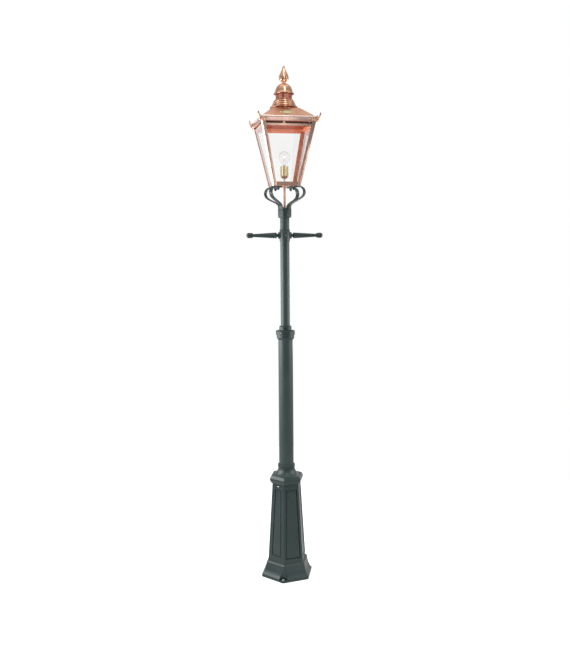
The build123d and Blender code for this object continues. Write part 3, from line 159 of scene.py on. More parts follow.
def curved_foot(name, node, sharp=25):
    """Copy of the base's solid with the straight flare of its foot pressed to a hollow curve.

    The copy is cut at each level. A point on the outside of the foot then moves square to the axis and in
    height, from the straight profile to the curved one, both read at its level. Edges bent more than sharp
    degrees stay crisp.
    """
    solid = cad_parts[node]
    mesh = solid.data.copy()
    mesh.name = name
    mesh.transform(solid.matrix_world)
    mesh.materials.clear()
    if "custom_normal" in mesh.attributes:
        mesh.attributes.remove(mesh.attributes["custom_normal"])
    work = bmesh.new()
    work.from_mesh(mesh)
    bmesh.ops.remove_doubles(work, verts=work.verts, dist=merge_gap)
    for level in foot_levels[1:-1]:
        whole = work.verts[:] + work.edges[:] + work.faces[:]
        cut = {"plane_co": (0, 0, level), "plane_no": (0, 0, 1)}
        bmesh.ops.bisect_plane(work, geom=whole, dist=0.1 * merge_gap, **cut)
    work.to_mesh(mesh)
    work.free()
    points = np.empty(3 * len(mesh.vertices), np.float32)
    mesh.vertices.foreach_get("co", points)
    points = points.reshape(-1, 3)
    height = points[:, 2].copy()
    face_ways = np.stack([np.sin(face_azimuths), -np.cos(face_azimuths)])
    reach = (points[:, :2] @ face_ways).max(axis=1)
    outside = np.abs(reach - np.interp(height, foot_levels, straight_flats)) < skin_reach
    outside &= (height > foot_levels[0]) & (height < foot_levels[-1])
    pressed = np.interp(height, foot_levels, curved_flats) / np.maximum(reach, skin_reach)
    points[:, :2] *= np.where(outside, pressed, 1)[:, None]
    points[:, 2] = np.where(outside, np.interp(height, foot_levels, curved_levels), height)
    mesh.vertices.foreach_set("co", points.ravel())
    mesh.shade_smooth()
    mesh.set_sharp_from_angle(angle=radians(sharp))
    return mesh


def piece(name, mesh, material, body):
    """Object of a finished mesh that rides on a body and takes its finish from a slot."""
    made = bpy.data.objects.new(name, mesh)
    bpy.context.scene.collection.objects.link(made)
    mesh.materials.append(material)
    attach(made, body)
    return made


cast_paint = satin_paint("cast_paint", cast_pebble, paint_colour, paint_thin_colour)
finish_nodes(cast_paint, "base_casting")
base_mesh = curved_foot("base_shell", "base_casting")
base_shell = piece("base_shell", base_mesh, cast_paint, "post")
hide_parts("base_casting")

# Anchor bolts
# Zinc-plated studs set in the ground, each with a hexagon nut on a lug of the base. They hold the base
# down at three of its corners.
bolt_circle_radius = 126 * MM
bolt_azimuths = np.radians([-19.4, 100.6, 220.6])
stud_radius = 4.7 * MM
stud_height = 17 * MM
thread_depth = 0.5 * MM
thread_pitch = 1.75 * MM
lug_top = 9 * MM
nut_corner = 6.6 * MM
nut_height = 5.5 * MM
nut_chamfer = 1.1 * MM
nut_sides = 6
nut_steps = 36


def carried_round(profile, steps, scale=1.0):
    """Grid of points from (radius, height) pairs carried round the Z axis; scale multiplies the radius."""
    angle = np.linspace(0, 2 * pi, steps, endpoint=False)
    radius, height = np.asarray(profile, float).T
    wide = radius[:, None] * np.broadcast_to(scale, (len(radius), steps))
    tall = np.broadcast_to(height[:, None], wide.shape)
    return np.stack([wide * np.cos(angle), wide * np.sin(angle), tall], axis=-1)


def polygon_scale(sides, steps):
    """Radius of a regular polygon: cos(pi / n) over the cosine of the angle off the middle of a side."""
    angle = np.linspace(0, 2 * pi, steps, endpoint=False)
    off = np.mod(angle, 2 * pi / sides) - pi / sides
    return cos(pi / sides) / np.cos(off)


def threaded(radius, depth, pitch, low, high, steps=32, rows_per_turn=6):
    """Thread: once a pitch the radius drops by the depth and back, and the drop climbs with the turn."""
    angle = np.linspace(0, 2 * pi, steps, endpoint=False)
    height = np.linspace(low, high, int((high - low) / pitch * rows_per_turn))
    turn = height[:, None] / pitch - angle[None, :] / (2 * pi)
    wide = radius - depth * np.abs(2 * np.mod(turn, 1) - 1)
    tall = np.broadcast_to(height[:, None], wide.shape)
    wall = np.stack([wide * np.cos(angle), wide * np.sin(angle), tall], axis=-1)
    foot = wall[:1] * (0, 0, 1)
    head = wall[-1:] * (0, 0, 1)
    return np.concatenate([foot, wall, head])


def skin(name, grids, wrap=True, sharp=35):
    """Mesh of quads over grids of points, rows by columns; wrap joins the last column to the first.

    Points that fall together, as at a pole, are merged, and edges bent more than sharp degrees stay crisp.
    """
    points = []
    faces = []
    start = 0
    for grid in grids:
        rows, columns = grid.shape[:2]
        number = start + np.arange(rows * columns).reshape(rows, columns)
        if wrap:
            number = np.column_stack([number, number[:, :1]])
        corners = (number[:-1, :-1], number[:-1, 1:], number[1:, 1:], number[1:, :-1])
        points.append(grid.reshape(-1, 3))
        faces.append(np.stack(corners, axis=-1).reshape(-1, 4))
        start += rows * columns
    mesh = bpy.data.meshes.new(name)
    mesh.from_pydata(np.concatenate(points).tolist(), [], np.concatenate(faces).tolist())
    work = bmesh.new()
    work.from_mesh(mesh)
    bmesh.ops.remove_doubles(work, verts=work.verts, dist=merge_gap)
    bmesh.ops.recalc_face_normals(work, faces=work.faces)
    work.to_mesh(mesh)
    work.free()
    mesh.shade_smooth()
    mesh.set_sharp_from_angle(angle=radians(sharp))
    return mesh


def plain_metal(name, colour, roughness, marks):
    """Bare or plated metal: even colour, roughness that drifts, and fine marks raised by noise."""
    material, wire = new_finish(name)
    place = wire.node("TexCoord", out="Object")
    drift = place.noise(40.0, 3.0)
    dull = tuple(0.82 * channel for channel in colour)
    shader = wire.node("BsdfPrincipled", None, {
        "Base Color": drift.between(0.3, 0.7).tint((*dull, 1), (*colour, 1)),
        "Metallic": 1.0,
        "Roughness": roughness - 0.08 + 0.16 * drift,
        "Normal": place.noise(900.0).bump(marks),
    })
    wire.node("OutputMaterial", None, {"Surface": shader}, None)
    return material


bright_steel = plain_metal("bright_steel", (0.74, 0.74, 0.72), 0.26, 0.02 * MM)
zinc = plain_metal("zinc", (0.52, 0.53, 0.53), 0.40, 0.03 * MM)
nut_top = lug_top + nut_height
nut_profile = [
    (0, lug_top),
    (nut_corner, lug_top),
    (nut_corner, nut_top - nut_chamfer),
    (nut_corner - nut_chamfer, nut_top),
    (0, nut_top),
]
bolt_grids = []
for azimuth in bolt_azimuths:
    place = bolt_circle_radius * np.array([np.sin(azimuth), -np.cos(azimuth), 0])
    bolt_grids.append(place + carried_round(nut_profile, nut_steps, polygon_scale(nut_sides, nut_steps)))
    bolt_grids.append(place + threaded(stud_radius, thread_depth, thread_pitch, 0, stud_height))
piece("anchor_bolts", skin("anchor_bolts", bolt_grids), zinc, "post")

# Inspection door and its screw
# A cast plate in the base's left front face, painted with the base. It tilts out on its bottom edge, and
# one bright steel button-head screw holds its head.
finish_nodes(cast_paint, "inspection_door")
finish_nodes(bright_steel, "door_screw")

# Terminal block
# A black moulded strip of screw terminals on a plated steel plate, fixed inside the base behind the
# door.
moulding_colour = (0.020, 0.020, 0.022, 1)


def moulded_plastic(name, colour, roughness):
    """Moulded plastic: one colour with a fine even grain."""
    material, wire = new_finish(name)
    place = wire.node("TexCoord", out="Object")
    shader = wire.node("BsdfPrincipled", None, {
        "Base Color": colour,
        "Roughness": roughness + 0.12 * place.noise(80.0),
        "Normal": place.noise(1500.0).bump(0.03 * MM),
    })
    wire.node("OutputMaterial", None, {"Surface": shader}, None)
    return material


finish_nodes(moulded_plastic("dark_moulding", moulding_colour, 0.42), "terminal_block")
finish_nodes(plain_metal("plated_plate", (0.60, 0.60, 0.57), 0.38, 0.03 * MM), "terminal_plate")

# Tubes
# Two drawn steel tubes, zinc-plated and painted like the base but smoother. Their paint is a lighter copy
# of the base's colour, as painted light. The lower one stands in the base and the upper one in the collar.
tube_pebble = 0.05 * MM
# Painted light: colours lighter than the base's paint, used on the tubes, the bracket and the ladder
# sleeve.
tube_lit_colour = (0.032, 0.053, 0.051, 1)
tube_lit_thin_colour = (0.040, 0.062, 0.060, 1)
lit_tube_paint = satin_paint("lit_tube_paint", tube_pebble, tube_lit_colour, tube_lit_thin_colour)
finish_nodes(lit_tube_paint, "lower_tube", "upper_tube")

# Collar
# A turned casting that steps down from the lower tube to the upper one, painted with the base. Three set
# screws clamp the upper tube in it.
finish_nodes(cast_paint, "collar_casting")
finish_nodes(plain_metal("dark_steel", (0.16, 0.16, 0.16), 0.40, 0.03 * MM), "collar_screws")

# Ladder bar
# A barrel sleeve held on the upper tube by a set screw, and two turned arms screwed into its bosses. All
# of it is painted like the post.
finish_nodes(lit_tube_paint, "ladder_sleeve")
finish_nodes(cast_paint, "ladder_arm_left", "ladder_arm_right")
finish_nodes(bright_steel, "ladder_screw")

# Bracket
# Four flat steel bars, bent to a heart and welded by thicker roots to a socket over the upper tube. They
# are painted, and bolted up through the lantern's floor.
corners = ("front_left", "front_right", "back_right", "back_left")
corner_ways = dict(zip(corners, ((-1, -1), (1, -1), (1, 1), (-1, 1))))
strap_half = 10.2 * MM
strap_thick_half = 3.2 * MM
pad_half = 15 * MM
pad_thick_half = 5.5 * MM
strap_points = np.array([
    (28.2, -48), (28.2, -30), (28.6, -10), (30.5, 2), (34, 14), (43, 23.5),
    (60, 32.5), (84, 43), (104, 53), (116, 63.5), (122.2, 77.5), (118.5, 94),
    (107.3, 105.3), (92, 109.3), (64, 109.3), (36, 109.3),
]) * MM
strap_rows = 120
strap_steps = 24
strap_squareness = 0.35
width_shares = [0, 0.02, 0.13, 0.26, 1]
width_halves = [pad_half - 2 * MM, pad_half, pad_half, strap_half, strap_half]
thick_shares = [0, 0.03, 0.13, 0.22, 1]
thick_halves = [0.3 * pad_thick_half, pad_thick_half, pad_thick_half, strap_thick_half, strap_thick_half]


def smooth_line(points, count):
    """Curve through points: between two of them, a cubic with the tangents of their neighbours' chords."""
    points = np.asarray(points, float)
    ends = np.concatenate([2 * points[:1] - points[1:2], points, 2 * points[-1:] - points[-2:-1]])
    along = np.linspace(0, len(points) - 1, count)
    first = np.minimum(along.astype(int), len(points) - 2)
    part = (along - first)[:, None]
    before, here, there, after = (ends[first + step] for step in range(4))
    square = (2 * before - 5 * here + 4 * there - after) * part
    cube = (3 * here - before - 3 * there + after) * part ** 2
    return here + 0.5 * part * ((there - before) + (square + cube))


def swept(path, side, half_width, half_thickness, steps=12, power=1.0):
    """Grid of ellipses along a path, closed at its ends.

    Each reaches half_width to the side given and half_thickness square to it. Its cosine and sine are
    raised to the power, so that one below 1 squares it off.
    """
    path = np.asarray(path, float)
    tangent = np.gradient(path, axis=0)
    across = np.broadcast_to(np.asarray(side, float), path.shape)
    above = np.cross(tangent, across)
    above = above / np.linalg.norm(above, axis=1, keepdims=True)
    angle = np.linspace(0, 2 * pi, steps, endpoint=False) + pi / steps
    wave = np.stack([np.cos(angle), np.sin(angle)])
    wave = np.sign(wave) * np.abs(wave) ** power
    wide = np.broadcast_to(half_width, len(path))[:, None, None] * across[:, None, :] * wave[0][:, None]
    thick = np.broadcast_to(half_thickness, len(path))[:, None, None] * above[:, None, :] * wave[1][:, None]
    wall = path[:, None, :] + wide + thick
    foot = np.broadcast_to(path[0], wall[:1].shape)
    head = np.broadcast_to(path[-1], wall[:1].shape)
    return np.concatenate([foot, wall, head])


def box_of(name):
    """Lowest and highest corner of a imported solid."""
    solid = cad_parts[name]
    reach = np.array([solid.matrix_world @ Vector(corner) for corner in solid.bound_box])
    return reach.min(axis=0), reach.max(axis=0)


strap_line = smooth_line(strap_points, strap_rows)
strap_share = np.linspace(0, 1, strap_rows)
strap_width = np.interp(strap_share, width_shares, width_halves)
strap_thick = np.interp(strap_share, thick_shares, thick_halves)
hub_top = box_of("bracket_hub")[1][2]
for corner, (way_x, way_y) in corner_ways.items():
    outward = np.array([way_x, way_y, 0]) / np.sqrt(2)
    sideways = np.array([-way_y, way_x, 0]) / np.sqrt(2)
    strap_path = (0, 0, hub_top) + strap_line @ np.stack([outward, (0, 0, 1)])
    strap_grid = swept(strap_path, sideways, strap_width, strap_thick, strap_steps, strap_squareness)
    strap_mesh = skin("strap_" + corner, [strap_grid])
    strap = piece("strap_" + corner, strap_mesh, lit_tube_paint, "post")
    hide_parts("bracket_arm_" + corner)
finish_nodes(lit_tube_paint, "bracket_hub", "bracket_nuts", *["bracket_arm_" + corner for corner in corners])
finish_nodes(bright_steel, "bracket_bolts")

# Lantern body
# Folded copper sheet, lacquered: a floor tray, four grooved corner posts and a top frame, soldered
# together, with a copper conduit for the wires below. The front of the vent gap is painted dark as shade.
folded_colour = (0.90, 0.60, 0.49)
tray_colour = (0.60, 0.37, 0.29)
pipe_colour = (0.80, 0.46, 0.30)
# Inward colours are painted shade and interreflection, laid on faces turned to the lantern's axis.
painted_inward_colour = (0.98, 0.30, 0.13)
post_painted_inward_colour = (0.70, 0.26, 0.15)
# Painted shade: the dark colour laid on the front of the vent gap and on faces that look down there.
vent_shade_colour = (0.130, 0.085, 0.065, 1)
sheet_ripple = 0.15 * MM
eaves_bow = 0.20
cut_half = 12.7 * MM
crease_slope = 0.142
upstand_height = 10.5 * MM
vent_shade_edge = 1 * MM
no_vent_shade_level = 10.0
clouding = (0.86, 0.78, 0.72)


def copper(name, colour, roughness, ripple, inward_shade_colour=painted_inward_colour,
           ring_pitch=0.0, bow=0.0, crease=0.0, vent_shade_level=no_vent_shade_level):
    """Lacquered copper: a tone that clouds over in places, roughness that drifts, a slightly rippled sheet.

    Faces turned to the lantern's axis take the inward shade colour, a painted shade and interreflection
    inside the lantern and under the roof and chimney, and those turned down are dull. The bow falls off
    with the square of the distance from the axis. The crease tilts the front half of the left cut corners.
    A ring pitch adds the fine rings of a spinning tool. At the front, faces that look down and those above
    the vent shade level are painted dark, as shade in the vent gap.
    """
    material, wire = new_finish(name)
    place = wire.node("TexCoord", out="Object")
    facing = wire.node("TexCoord", out="Normal")
    across, along, up = (place.axis(letter) for letter in "XYZ")
    outward = across * facing.axis("X") + along * facing.axis("Y")
    # Faces turned to the axis take the inward shade colour: painted shade and interreflection.
    inside = (0.0 - outward).between(0.0, 0.02)
    under = (0.0 - facing.axis("Z")).between(0.7, 0.95)
    dull = wire.math("MAXIMUM", inside, under)
    # Painted shade at the front: faces above the vent shade level, unless turned inward, and faces that
    # look down.
    above_vent_shade = up.between(vent_shade_level, vent_shade_level + vent_shade_edge)
    vent_shade_faces = wire.math("MAXIMUM", above_vent_shade * (1 - inside), under)
    vent_shade = vent_shade_faces * (0.0 - along).between(0.10, 0.11)
    cloud = place.noise(14.0, 4.0)
    smear = place.noise(60.0, 3.0)
    clouded = tuple(channel * share for channel, share in zip(colour, clouding))
    polished = cloud.between(0.30, 0.66).tint((*clouded, 1), (*colour, 1))
    height = ripple * place.noise(22.0, 1.0) - bow * (across * across + along * along)
    if crease:
        aside = wire.math("ABSOLUTE", along) - wire.math("ABSOLUTE", across)
        front_half = wire.math("MINIMUM", wire.math("MAXIMUM", aside, 0.0), cut_half)
        height = height - crease * front_half * (0.0 - across).between(0.0, 0.01)
    if ring_pitch:
        height = height + 0.05 * ripple * wire.math("SINE", up * (2 * pi / ring_pitch))
    shader = wire.node("BsdfPrincipled", None, {
        "Base Color": vent_shade.tint(inside.tint(polished, (*inward_shade_colour, 1)), vent_shade_colour),
        "Metallic": (1 - 0.65 * dull) * (1 - vent_shade),
        "Roughness": roughness - 0.04 + 0.08 * smear + 0.25 * dull + 0.4 * vent_shade,
        "Specular IOR Level": 0.25,
        "Coat Weight": 0.2 * (1 - dull) * (1 - vent_shade),
        "Coat Roughness": 0.05,
        "Normal": height.bump(1.0),
    })
    wire.node("OutputMaterial", None, {"Surface": shader}, None)
    return material


# Foot of the vent gap's upstand: above it, the front of the top frame is painted dark as shade.
vent_shade_level = box_of("top_frame")[1][2] - upstand_height
copper_post = copper("copper_post", folded_colour, 0.14, sheet_ripple, post_painted_inward_colour,
                     crease=crease_slope)
copper_tray = copper("copper_tray", tray_colour, 0.20, sheet_ripple)
copper_frame = copper("copper_frame", folded_colour, 0.14, 0.5 * sheet_ripple, vent_shade_level=vent_shade_level)
copper_pipe = copper("copper_pipe", pipe_colour, 0.16, 0.05 * MM)
finish_nodes(copper_tray, "base_tray")
finish_nodes(copper_frame, "top_frame")
finish_nodes(copper_post, *["corner_post_" + corner for corner in corners])
finish_nodes(copper_pipe, "conduit_tube", "catch_tab")

# Panes
# Four tapered panes of clear float glass, cut to the lantern's slope. They are slid into the posts' grooves
# and stand on the tray.
pane_colour = (0.975, 0.985, 0.980, 1)


def clear_glass(name, colour):
    """Clear glass that lets lamp light through to what is behind it."""
    material, wire = new_finish(name)
    glass = wire.node("BsdfPrincipled", None, {
        "Base Color": colour,
        "Roughness": 0.0,
        "IOR": 1.52,
        "Transmission Weight": 1.0,
    })
    through = wire.node("BsdfTransparent", None, {"Color": colour})
    shadow = wire.node("LightPath", out="Is Shadow Ray")
    shader = wire.node("MixShader", None, {0: shadow, 1: glass, 2: through})
    wire.node("OutputMaterial", None, {"Surface": shader}, None)
    return material


sides = ("front", "right", "back", "left")
finish_nodes(clear_glass("pane_glass", pane_colour), *["glass_pane_" + side for side in sides])

# Lampholder and bulb
# A brass holder on a threaded stem, in two shells joined by a ring, with a porcelain insert, and a clear
# bulb screwed into it.
brass = plain_metal("brass", (0.80, 0.64, 0.34), 0.10, 0.02 * MM)
finish_nodes(brass, "holder_cup", "holder_ring", "holder_shell", "bulb_cap")
finish_nodes(bright_steel, "holder_stem", "stem_locknut")
finish_nodes(moulded_plastic("porcelain", (0.82, 0.81, 0.78, 1), 0.12), "holder_insert")
clear_bulb = clear_glass("bulb_glass", (1, 1, 1, 1))
finish_nodes(clear_bulb, "bulb_glass")

# Filament and its mount
# A glass foot fused into the bulb's neck carries two lead wires, fine supports and a coiled tungsten
# filament. Its glow is a painted highlight of the bright middle of the bulb.
mount_foot = box_of("bulb_cap")[1][2] - 4 * MM
mount_profile = np.array([
    (9.5, 0), (8.0, 5), (5.2, 12), (4.2, 22), (4.0, 32), (4.8, 35), (4.0, 38), (0, 39.5),
]) * MM
mount_rows = 40
mount_steps = 24
wire_rows = 16
wire_steps = 8
support_rows = 12
lead_radius = 0.45 * MM
support_radius = 0.25 * MM
filament_reach = 8 * MM
filament_height = 55 * MM
filament_sag = 4 * MM
coil_radius = 1.1 * MM
coil_turns = 16
rows_per_coil = 12
coil_steps = 6
filament_radius = 0.45 * MM
filament_highlight_colour = (1.0, 0.86, 0.66, 1)
filament_dim_highlight_colour = (1.0, 0.74, 0.45, 1)
depth_way = (0, 1, 0)
mount_shift = np.array([0, 0, mount_foot])
mount_grid = mount_shift + carried_round(smooth_line(mount_profile, mount_rows), mount_steps)
mount_mesh = skin("bulb_mount", [mount_grid])
piece("bulb_mount", mount_mesh, clear_bulb, "post")
wire_grids = []
for way in (-1, 1):
    lead_points = [
        (way * 2 * MM, 0, 32 * MM),
        (way * 5 * MM, 0, 42 * MM),
        (way * filament_reach, 0, filament_height),
    ]
    lead = smooth_line(lead_points, wire_rows)
    wire_grids.append(mount_shift + swept(lead, depth_way, lead_radius, lead_radius, wire_steps))
    support_points = [
        (0, 0, 37 * MM),
        (way * 3 * MM, 0, 44 * MM),
        (way * 4.5 * MM, 0, filament_height - filament_sag),
    ]
    support = smooth_line(support_points, support_rows)
    wire_grids.append(mount_shift + swept(support, depth_way, support_radius, support_radius, wire_steps))
piece("bulb_wires", skin("bulb_wires", wire_grids), bright_steel, "post")
coil_part = np.linspace(-1, 1, coil_turns * rows_per_coil)
coil_angle = coil_part * pi * coil_turns
coil_path = np.stack([
    filament_reach * coil_part,
    coil_radius * np.cos(coil_angle),
    filament_height - filament_sag * (1 - coil_part ** 2) + coil_radius * np.sin(coil_angle),
], axis=-1)
filament_material, wire = new_finish("filament")
# Painted highlight: the filament's glow, in two colours mixed by noise.
highlight_mix = wire.node("TexCoord", out="Object").noise(300.0).between(0.2, 0.8)
painted_highlight = highlight_mix.tint(filament_dim_highlight_colour, filament_highlight_colour)
highlight_shader = wire.node("BsdfPrincipled", None, {
    "Base Color": (0, 0, 0, 1),
    "Roughness": 0.5,
    "Emission Color": painted_highlight,
    "Emission Strength": 2.5,
})
wire.node("OutputMaterial", None, {"Surface": highlight_shader}, None)
filament_grid = mount_shift + swept(coil_path, depth_way, filament_radius, filament_radius, coil_steps)
filament_mesh = skin("filament", [filament_grid])
piece("filament", filament_mesh, filament_material, "post")

# Roof
# A hipped shell of copper sheet, soldered at the hips, on a folded eaves moulding that bows out a little
# and has brass screws. The whole roof is hinged at the back.
roof_colour = (0.76, 0.41, 0.265)
# Painted shade under the roof: the colour of the roof's inward faces.
roof_underside_shade_colour = (0.42, 0.17, 0.10)
eaves_colour = (0.97, 0.68, 0.60)
finish_nodes(copper("copper_eaves", eaves_colour, 0.14, sheet_ripple, bow=eaves_bow), "eaves_fascia")
finish_nodes(copper("copper_roof", roof_colour, 0.30, 0.3 * MM, roof_underside_shade_colour), "roof_shell")
finish_nodes(brass, "fascia_screws")

# Eaves bead
# A round copper wire soldered along the top edge of the eaves under the foot of the roof's slopes. Its
# pale colour is a painted highlight.
bead_radius = 3.4 * MM
bead_inset = 1.0 * MM
# Painted highlight: the bead's pale colour.
bead_highlight_colour = (1.0, 0.84, 0.76)
eaves_low, eaves_high = box_of("eaves_fascia")
bead_half = eaves_high[0] - bead_inset
bead_level = eaves_high[2] - bead_inset
bead_grids = []
for way in (-1, 1):
    along_x = [(-bead_half, way * bead_half, bead_level), (bead_half, way * bead_half, bead_level)]
    along_y = [(way * bead_half, -bead_half, bead_level), (way * bead_half, bead_half, bead_level)]
    bead_grids.append(swept(along_x, (0, 1, 0), bead_radius, bead_radius))
    bead_grids.append(swept(along_y, (1, 0, 0), bead_radius, bead_radius))
copper_bead = copper("copper_bead", bead_highlight_colour, 0.20, 0.05 * MM, bead_highlight_colour)
piece("eaves_bead", skin("eaves_bead", bead_grids), copper_bead, "roof")

# Oval plate and rivet
# A small blank enamelled plate with a brass rim, fixed on the roof's front slope, and a brass rivet left
# of it whose pale colour is a painted glint.
plate_width = 49 * MM
plate_height = 33 * MM
plate_thickness = 1.6 * MM
plate_centre_x = -4 * MM
plate_up_slope = 0.46
rim_share = 0.84
rivet_x = -37 * MM
rivet_radius = 4.5 * MM
rivet_height = 3 * MM
enamel_colour = (0.72, 0.74, 0.38, 1)
# Painted glint: the rivet's pale colour.
rivet_glint_colour = (0.97, 0.84, 0.62)
plate_steps = 64
rivet_steps = 32
roof_pitch = radians(37.5)
roof_low, roof_high = box_of("roof_shell")
roof_top_half = 70 * MM
slope_foot = np.array([0, -roof_top_half - (roof_high[2] - roof_low[2]) / np.tan(roof_pitch), roof_low[2]])
slope_head = np.array([0, -roof_top_half, roof_high[2]])
slope_up = np.array([0, np.cos(roof_pitch), np.sin(roof_pitch)])
slope_out = np.array([0, -np.sin(roof_pitch), np.cos(roof_pitch)])
slope_frame = np.stack([(1, 0, 0), slope_up, slope_out])
plate_place = slope_foot + plate_up_slope * (slope_head - slope_foot)
oval = np.array([plate_width / 2, plate_height / 2, plate_thickness])
rim_profile = [(rim_share, 0.55), (rim_share, 1.0), (0.93, 1.15), (1.0, 0.9), (1.0, -0.6)]
face_profile = [(0, 0.75), (0.5, 0.74), (rim_share, 0.6), (rim_share, -0.6)]
rivet_profile = [(0, 1.0), (0.4, 0.92), (0.75, 0.62), (0.95, 0.25), (1.0, -0.4)]
plate_centre = plate_place + (plate_centre_x, 0, 0)
rim_grid = plate_centre + (carried_round(rim_profile, plate_steps) * oval) @ slope_frame
rim_mesh = skin("plate_rim", [rim_grid])
piece("plate_rim", rim_mesh, brass, "roof")
enamel = moulded_plastic("enamel", enamel_colour, 0.10)
face_grid = plate_centre + (carried_round(face_profile, plate_steps) * oval) @ slope_frame
face_mesh = skin("plate_face", [face_grid])
piece("plate_face", face_mesh, enamel, "roof")
rivet_size = np.array([rivet_radius, rivet_radius, rivet_height])
rivet_dome = (carried_round(rivet_profile, rivet_steps) * rivet_size) @ slope_frame
rivet_grid = plate_place + (rivet_x, 0, 0) + rivet_dome
rivet_glint_metal = plain_metal("rivet_glint_metal", rivet_glint_colour, 0.28, 0.02 * MM)
piece("roof_rivet", skin("roof_rivet", [rivet_grid]), rivet_glint_metal, "roof")

# Corner leaves
# Cast copper leaves soldered over the four corners of the eaves: a spine up the corner, a horn that leans
# out from it, and a scalloped lobe along each fascia.
cast_colour = (0.82, 0.50, 0.37)
copper_cast = copper("copper_cast", cast_colour, 0.20, 0.2 * MM, cast_colour)
leaf_tip = box_of("corner_leaf_front_left")
corner_reach = eaves_high[0] * np.sqrt(2)
horn_rise = leaf_tip[1][2] - eaves_low[2]
horn_reach = -leaf_tip[0][0] * np.sqrt(2)
spine_points = np.array([(2, -3), (7, 3), (9, 11), (5.5, 20), (-1, 28.5)]) * MM
spine_rows = 24
spine_half = np.interp(np.linspace(0, 1, spine_rows), [0, 0.3, 0.7, 1], [2.5, 6.0, 5.5, 2.0]) * MM
spine_thick_half = 3.2 * MM
horn_rows = 32
horn_share = np.linspace(0, 1, horn_rows)
horn_shares = [0, 0.3, 0.7, 0.94, 1]
horn_half = np.interp(horn_share, horn_shares, [6.5, 5.4, 4.4, 3.6, 2.4]) * MM
horn_thick = np.interp(horn_share, horn_shares, [4.5, 3.8, 3.2, 2.8, 1.8]) * MM
horn_tip_inset = 4.2 * MM
horn_tip_drop = 0.6 * MM
leaf_steps = 16
lobe_length = 42 * MM
lobe_half = 8.5 * MM
lobe_relief = 4.5 * MM
lobe_sink = 0.5 * MM
lobe_drop = 1 * MM
lobe_rows = 48
lobe_columns = 17
scallop_pitch = 13 * MM
scallop_share = 0.20
hump_share = 0.18
hump_fall = 0.75
vein_depth = 0.30
vein_width = 0.16


def fascia_lobe(length, half, relief, pitch):
    """Grid of a leaf lobe on a flat face, as (along, out, up) points.

    Its half width is the root of one less the square of the share of the length, with scallops that are a
    cosine of the length over the pitch. The relief is a round hump across it that falls along its length,
    with a groove down the middle vein.
    """
    share = np.linspace(0, 1, lobe_rows)[:, None]
    across = np.linspace(-1, 1, lobe_columns)[None, :]
    scallop = np.cos(2 * pi * share * length / pitch)
    wide = half * np.sqrt(1 - share ** 2) * (1 + scallop_share * scallop)
    hump = relief * (1 - across ** 4) * (1 - hump_fall * share) * (1 + hump_share * scallop)
    vein = vein_depth * relief * np.exp(-(across / vein_width) ** 2) * (1 - share)
    ones = np.ones_like(across)
    return np.stack([share * length * ones, hump - vein - lobe_sink, wide * across], axis=-1)


horn_points = [(3 * MM, 6 * MM), (11 * MM, 13 * MM), (17 * MM, 24 * MM), (20.5 * MM, 34 * MM)]
horn_points.append((horn_reach - corner_reach - horn_tip_inset, horn_rise - horn_tip_drop))
for corner, (way_x, way_y) in corner_ways.items():
    outward = np.array([way_x, way_y, 0]) / np.sqrt(2)
    sideways = np.array([-way_y, way_x, 0]) / np.sqrt(2)
    diagonal = np.stack([outward, (0, 0, 1)])
    start = corner_reach * outward + (0, 0, eaves_low[2])
    spine = start + smooth_line(spine_points, spine_rows) @ diagonal
    horn = start + smooth_line(horn_points, horn_rows) @ diagonal
    spine_grid = swept(spine, sideways, spine_half, spine_thick_half, leaf_steps)
    horn_grid = swept(horn, sideways, horn_half, horn_thick, leaf_steps)
    leaf_mesh = skin("leaf_" + corner, [spine_grid, horn_grid])
    leaf = piece("leaf_" + corner, leaf_mesh, copper_cast, "roof")
    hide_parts("corner_leaf_" + corner)
    lobe = fascia_lobe(lobe_length, lobe_half, lobe_relief, scallop_pitch)
    lobe_level = 0.5 * (eaves_low[2] + eaves_high[2]) - lobe_drop
    middle = np.array([way_x * eaves_high[0], way_y * eaves_high[0], lobe_level])
    lobe_grids = []
    for run, out in (((-way_x, 0, 0), (0, way_y, 0)), ((0, -way_y, 0), (way_x, 0, 0))):
        lobe_grids.append(middle + lobe @ np.stack([run, out, (0, 0, 1)]).astype(float))
    lobe_mesh = skin("leaf_lobes_" + corner, lobe_grids, False)
    piece("leaf_lobes_" + corner, lobe_mesh, copper_cast, "roof")

# Chimney
# Spun copper: a skirt with a turned-out rim and three rolls over the top of the roof, a plain pipe and a
# bell-shaped cap, soldered together, with the rings of the spinning tool still on them.
spun_colour = (0.88, 0.50, 0.33)
# Painted shade under the chimney: the colour of the skirt's and cap's inward faces.
spun_underside_shade_colour = (0.40, 0.15, 0.10)
# The pipe sits in the cap's shadow: its darker, redder copper is painted shade and interreflection.
neck_shade_colour = (0.70, 0.28, 0.21)
skirt_rim = np.array([
    (56.8, 0), (58, 0), (58, 4), (60, 7.5), (66, 9.2),
    (72.5, 9.6), (73.8, 11.2), (73.2, 13.2), (70.5, 15), (66.5, 16.6),
]) * MM
skirt_head = np.array([
    (46.5, 50.5), (44.8, 53), (44.5, 55), (41.8, 55), (43.3, 50),
    (47, 44), (53, 30), (58, 19), (57, 8), (56.8, 0),
]) * MM
skirt_rows = 50
roll_foot = 17.2 * MM
roll_height = 10.7 * MM
roll_count = 3
roll_swell = 2.8 * MM
roll_radii = (62.5 * MM, 49.0 * MM)
roll_fullness = 0.6
roll_share = np.linspace(0.01, 0.99, 60)
cap_profile = np.array([
    (0, 63.5), (13, 63.5), (19.5, 60.8), (27.5, 55.8), (34.5, 48.8), (39.5, 40.8), (42.8, 32),
    (45.4, 23), (48, 17.5), (51.5, 13), (53, 10.8), (52.6, 8.4), (51.4, 8.6), (50.2, 11.2),
    (46.8, 16.5), (44.8, 22), (42.5, 26), (35, 27), (0, 33),
]) * MM
cap_rows = 140
spun_steps = 96
spun_sharp = 50
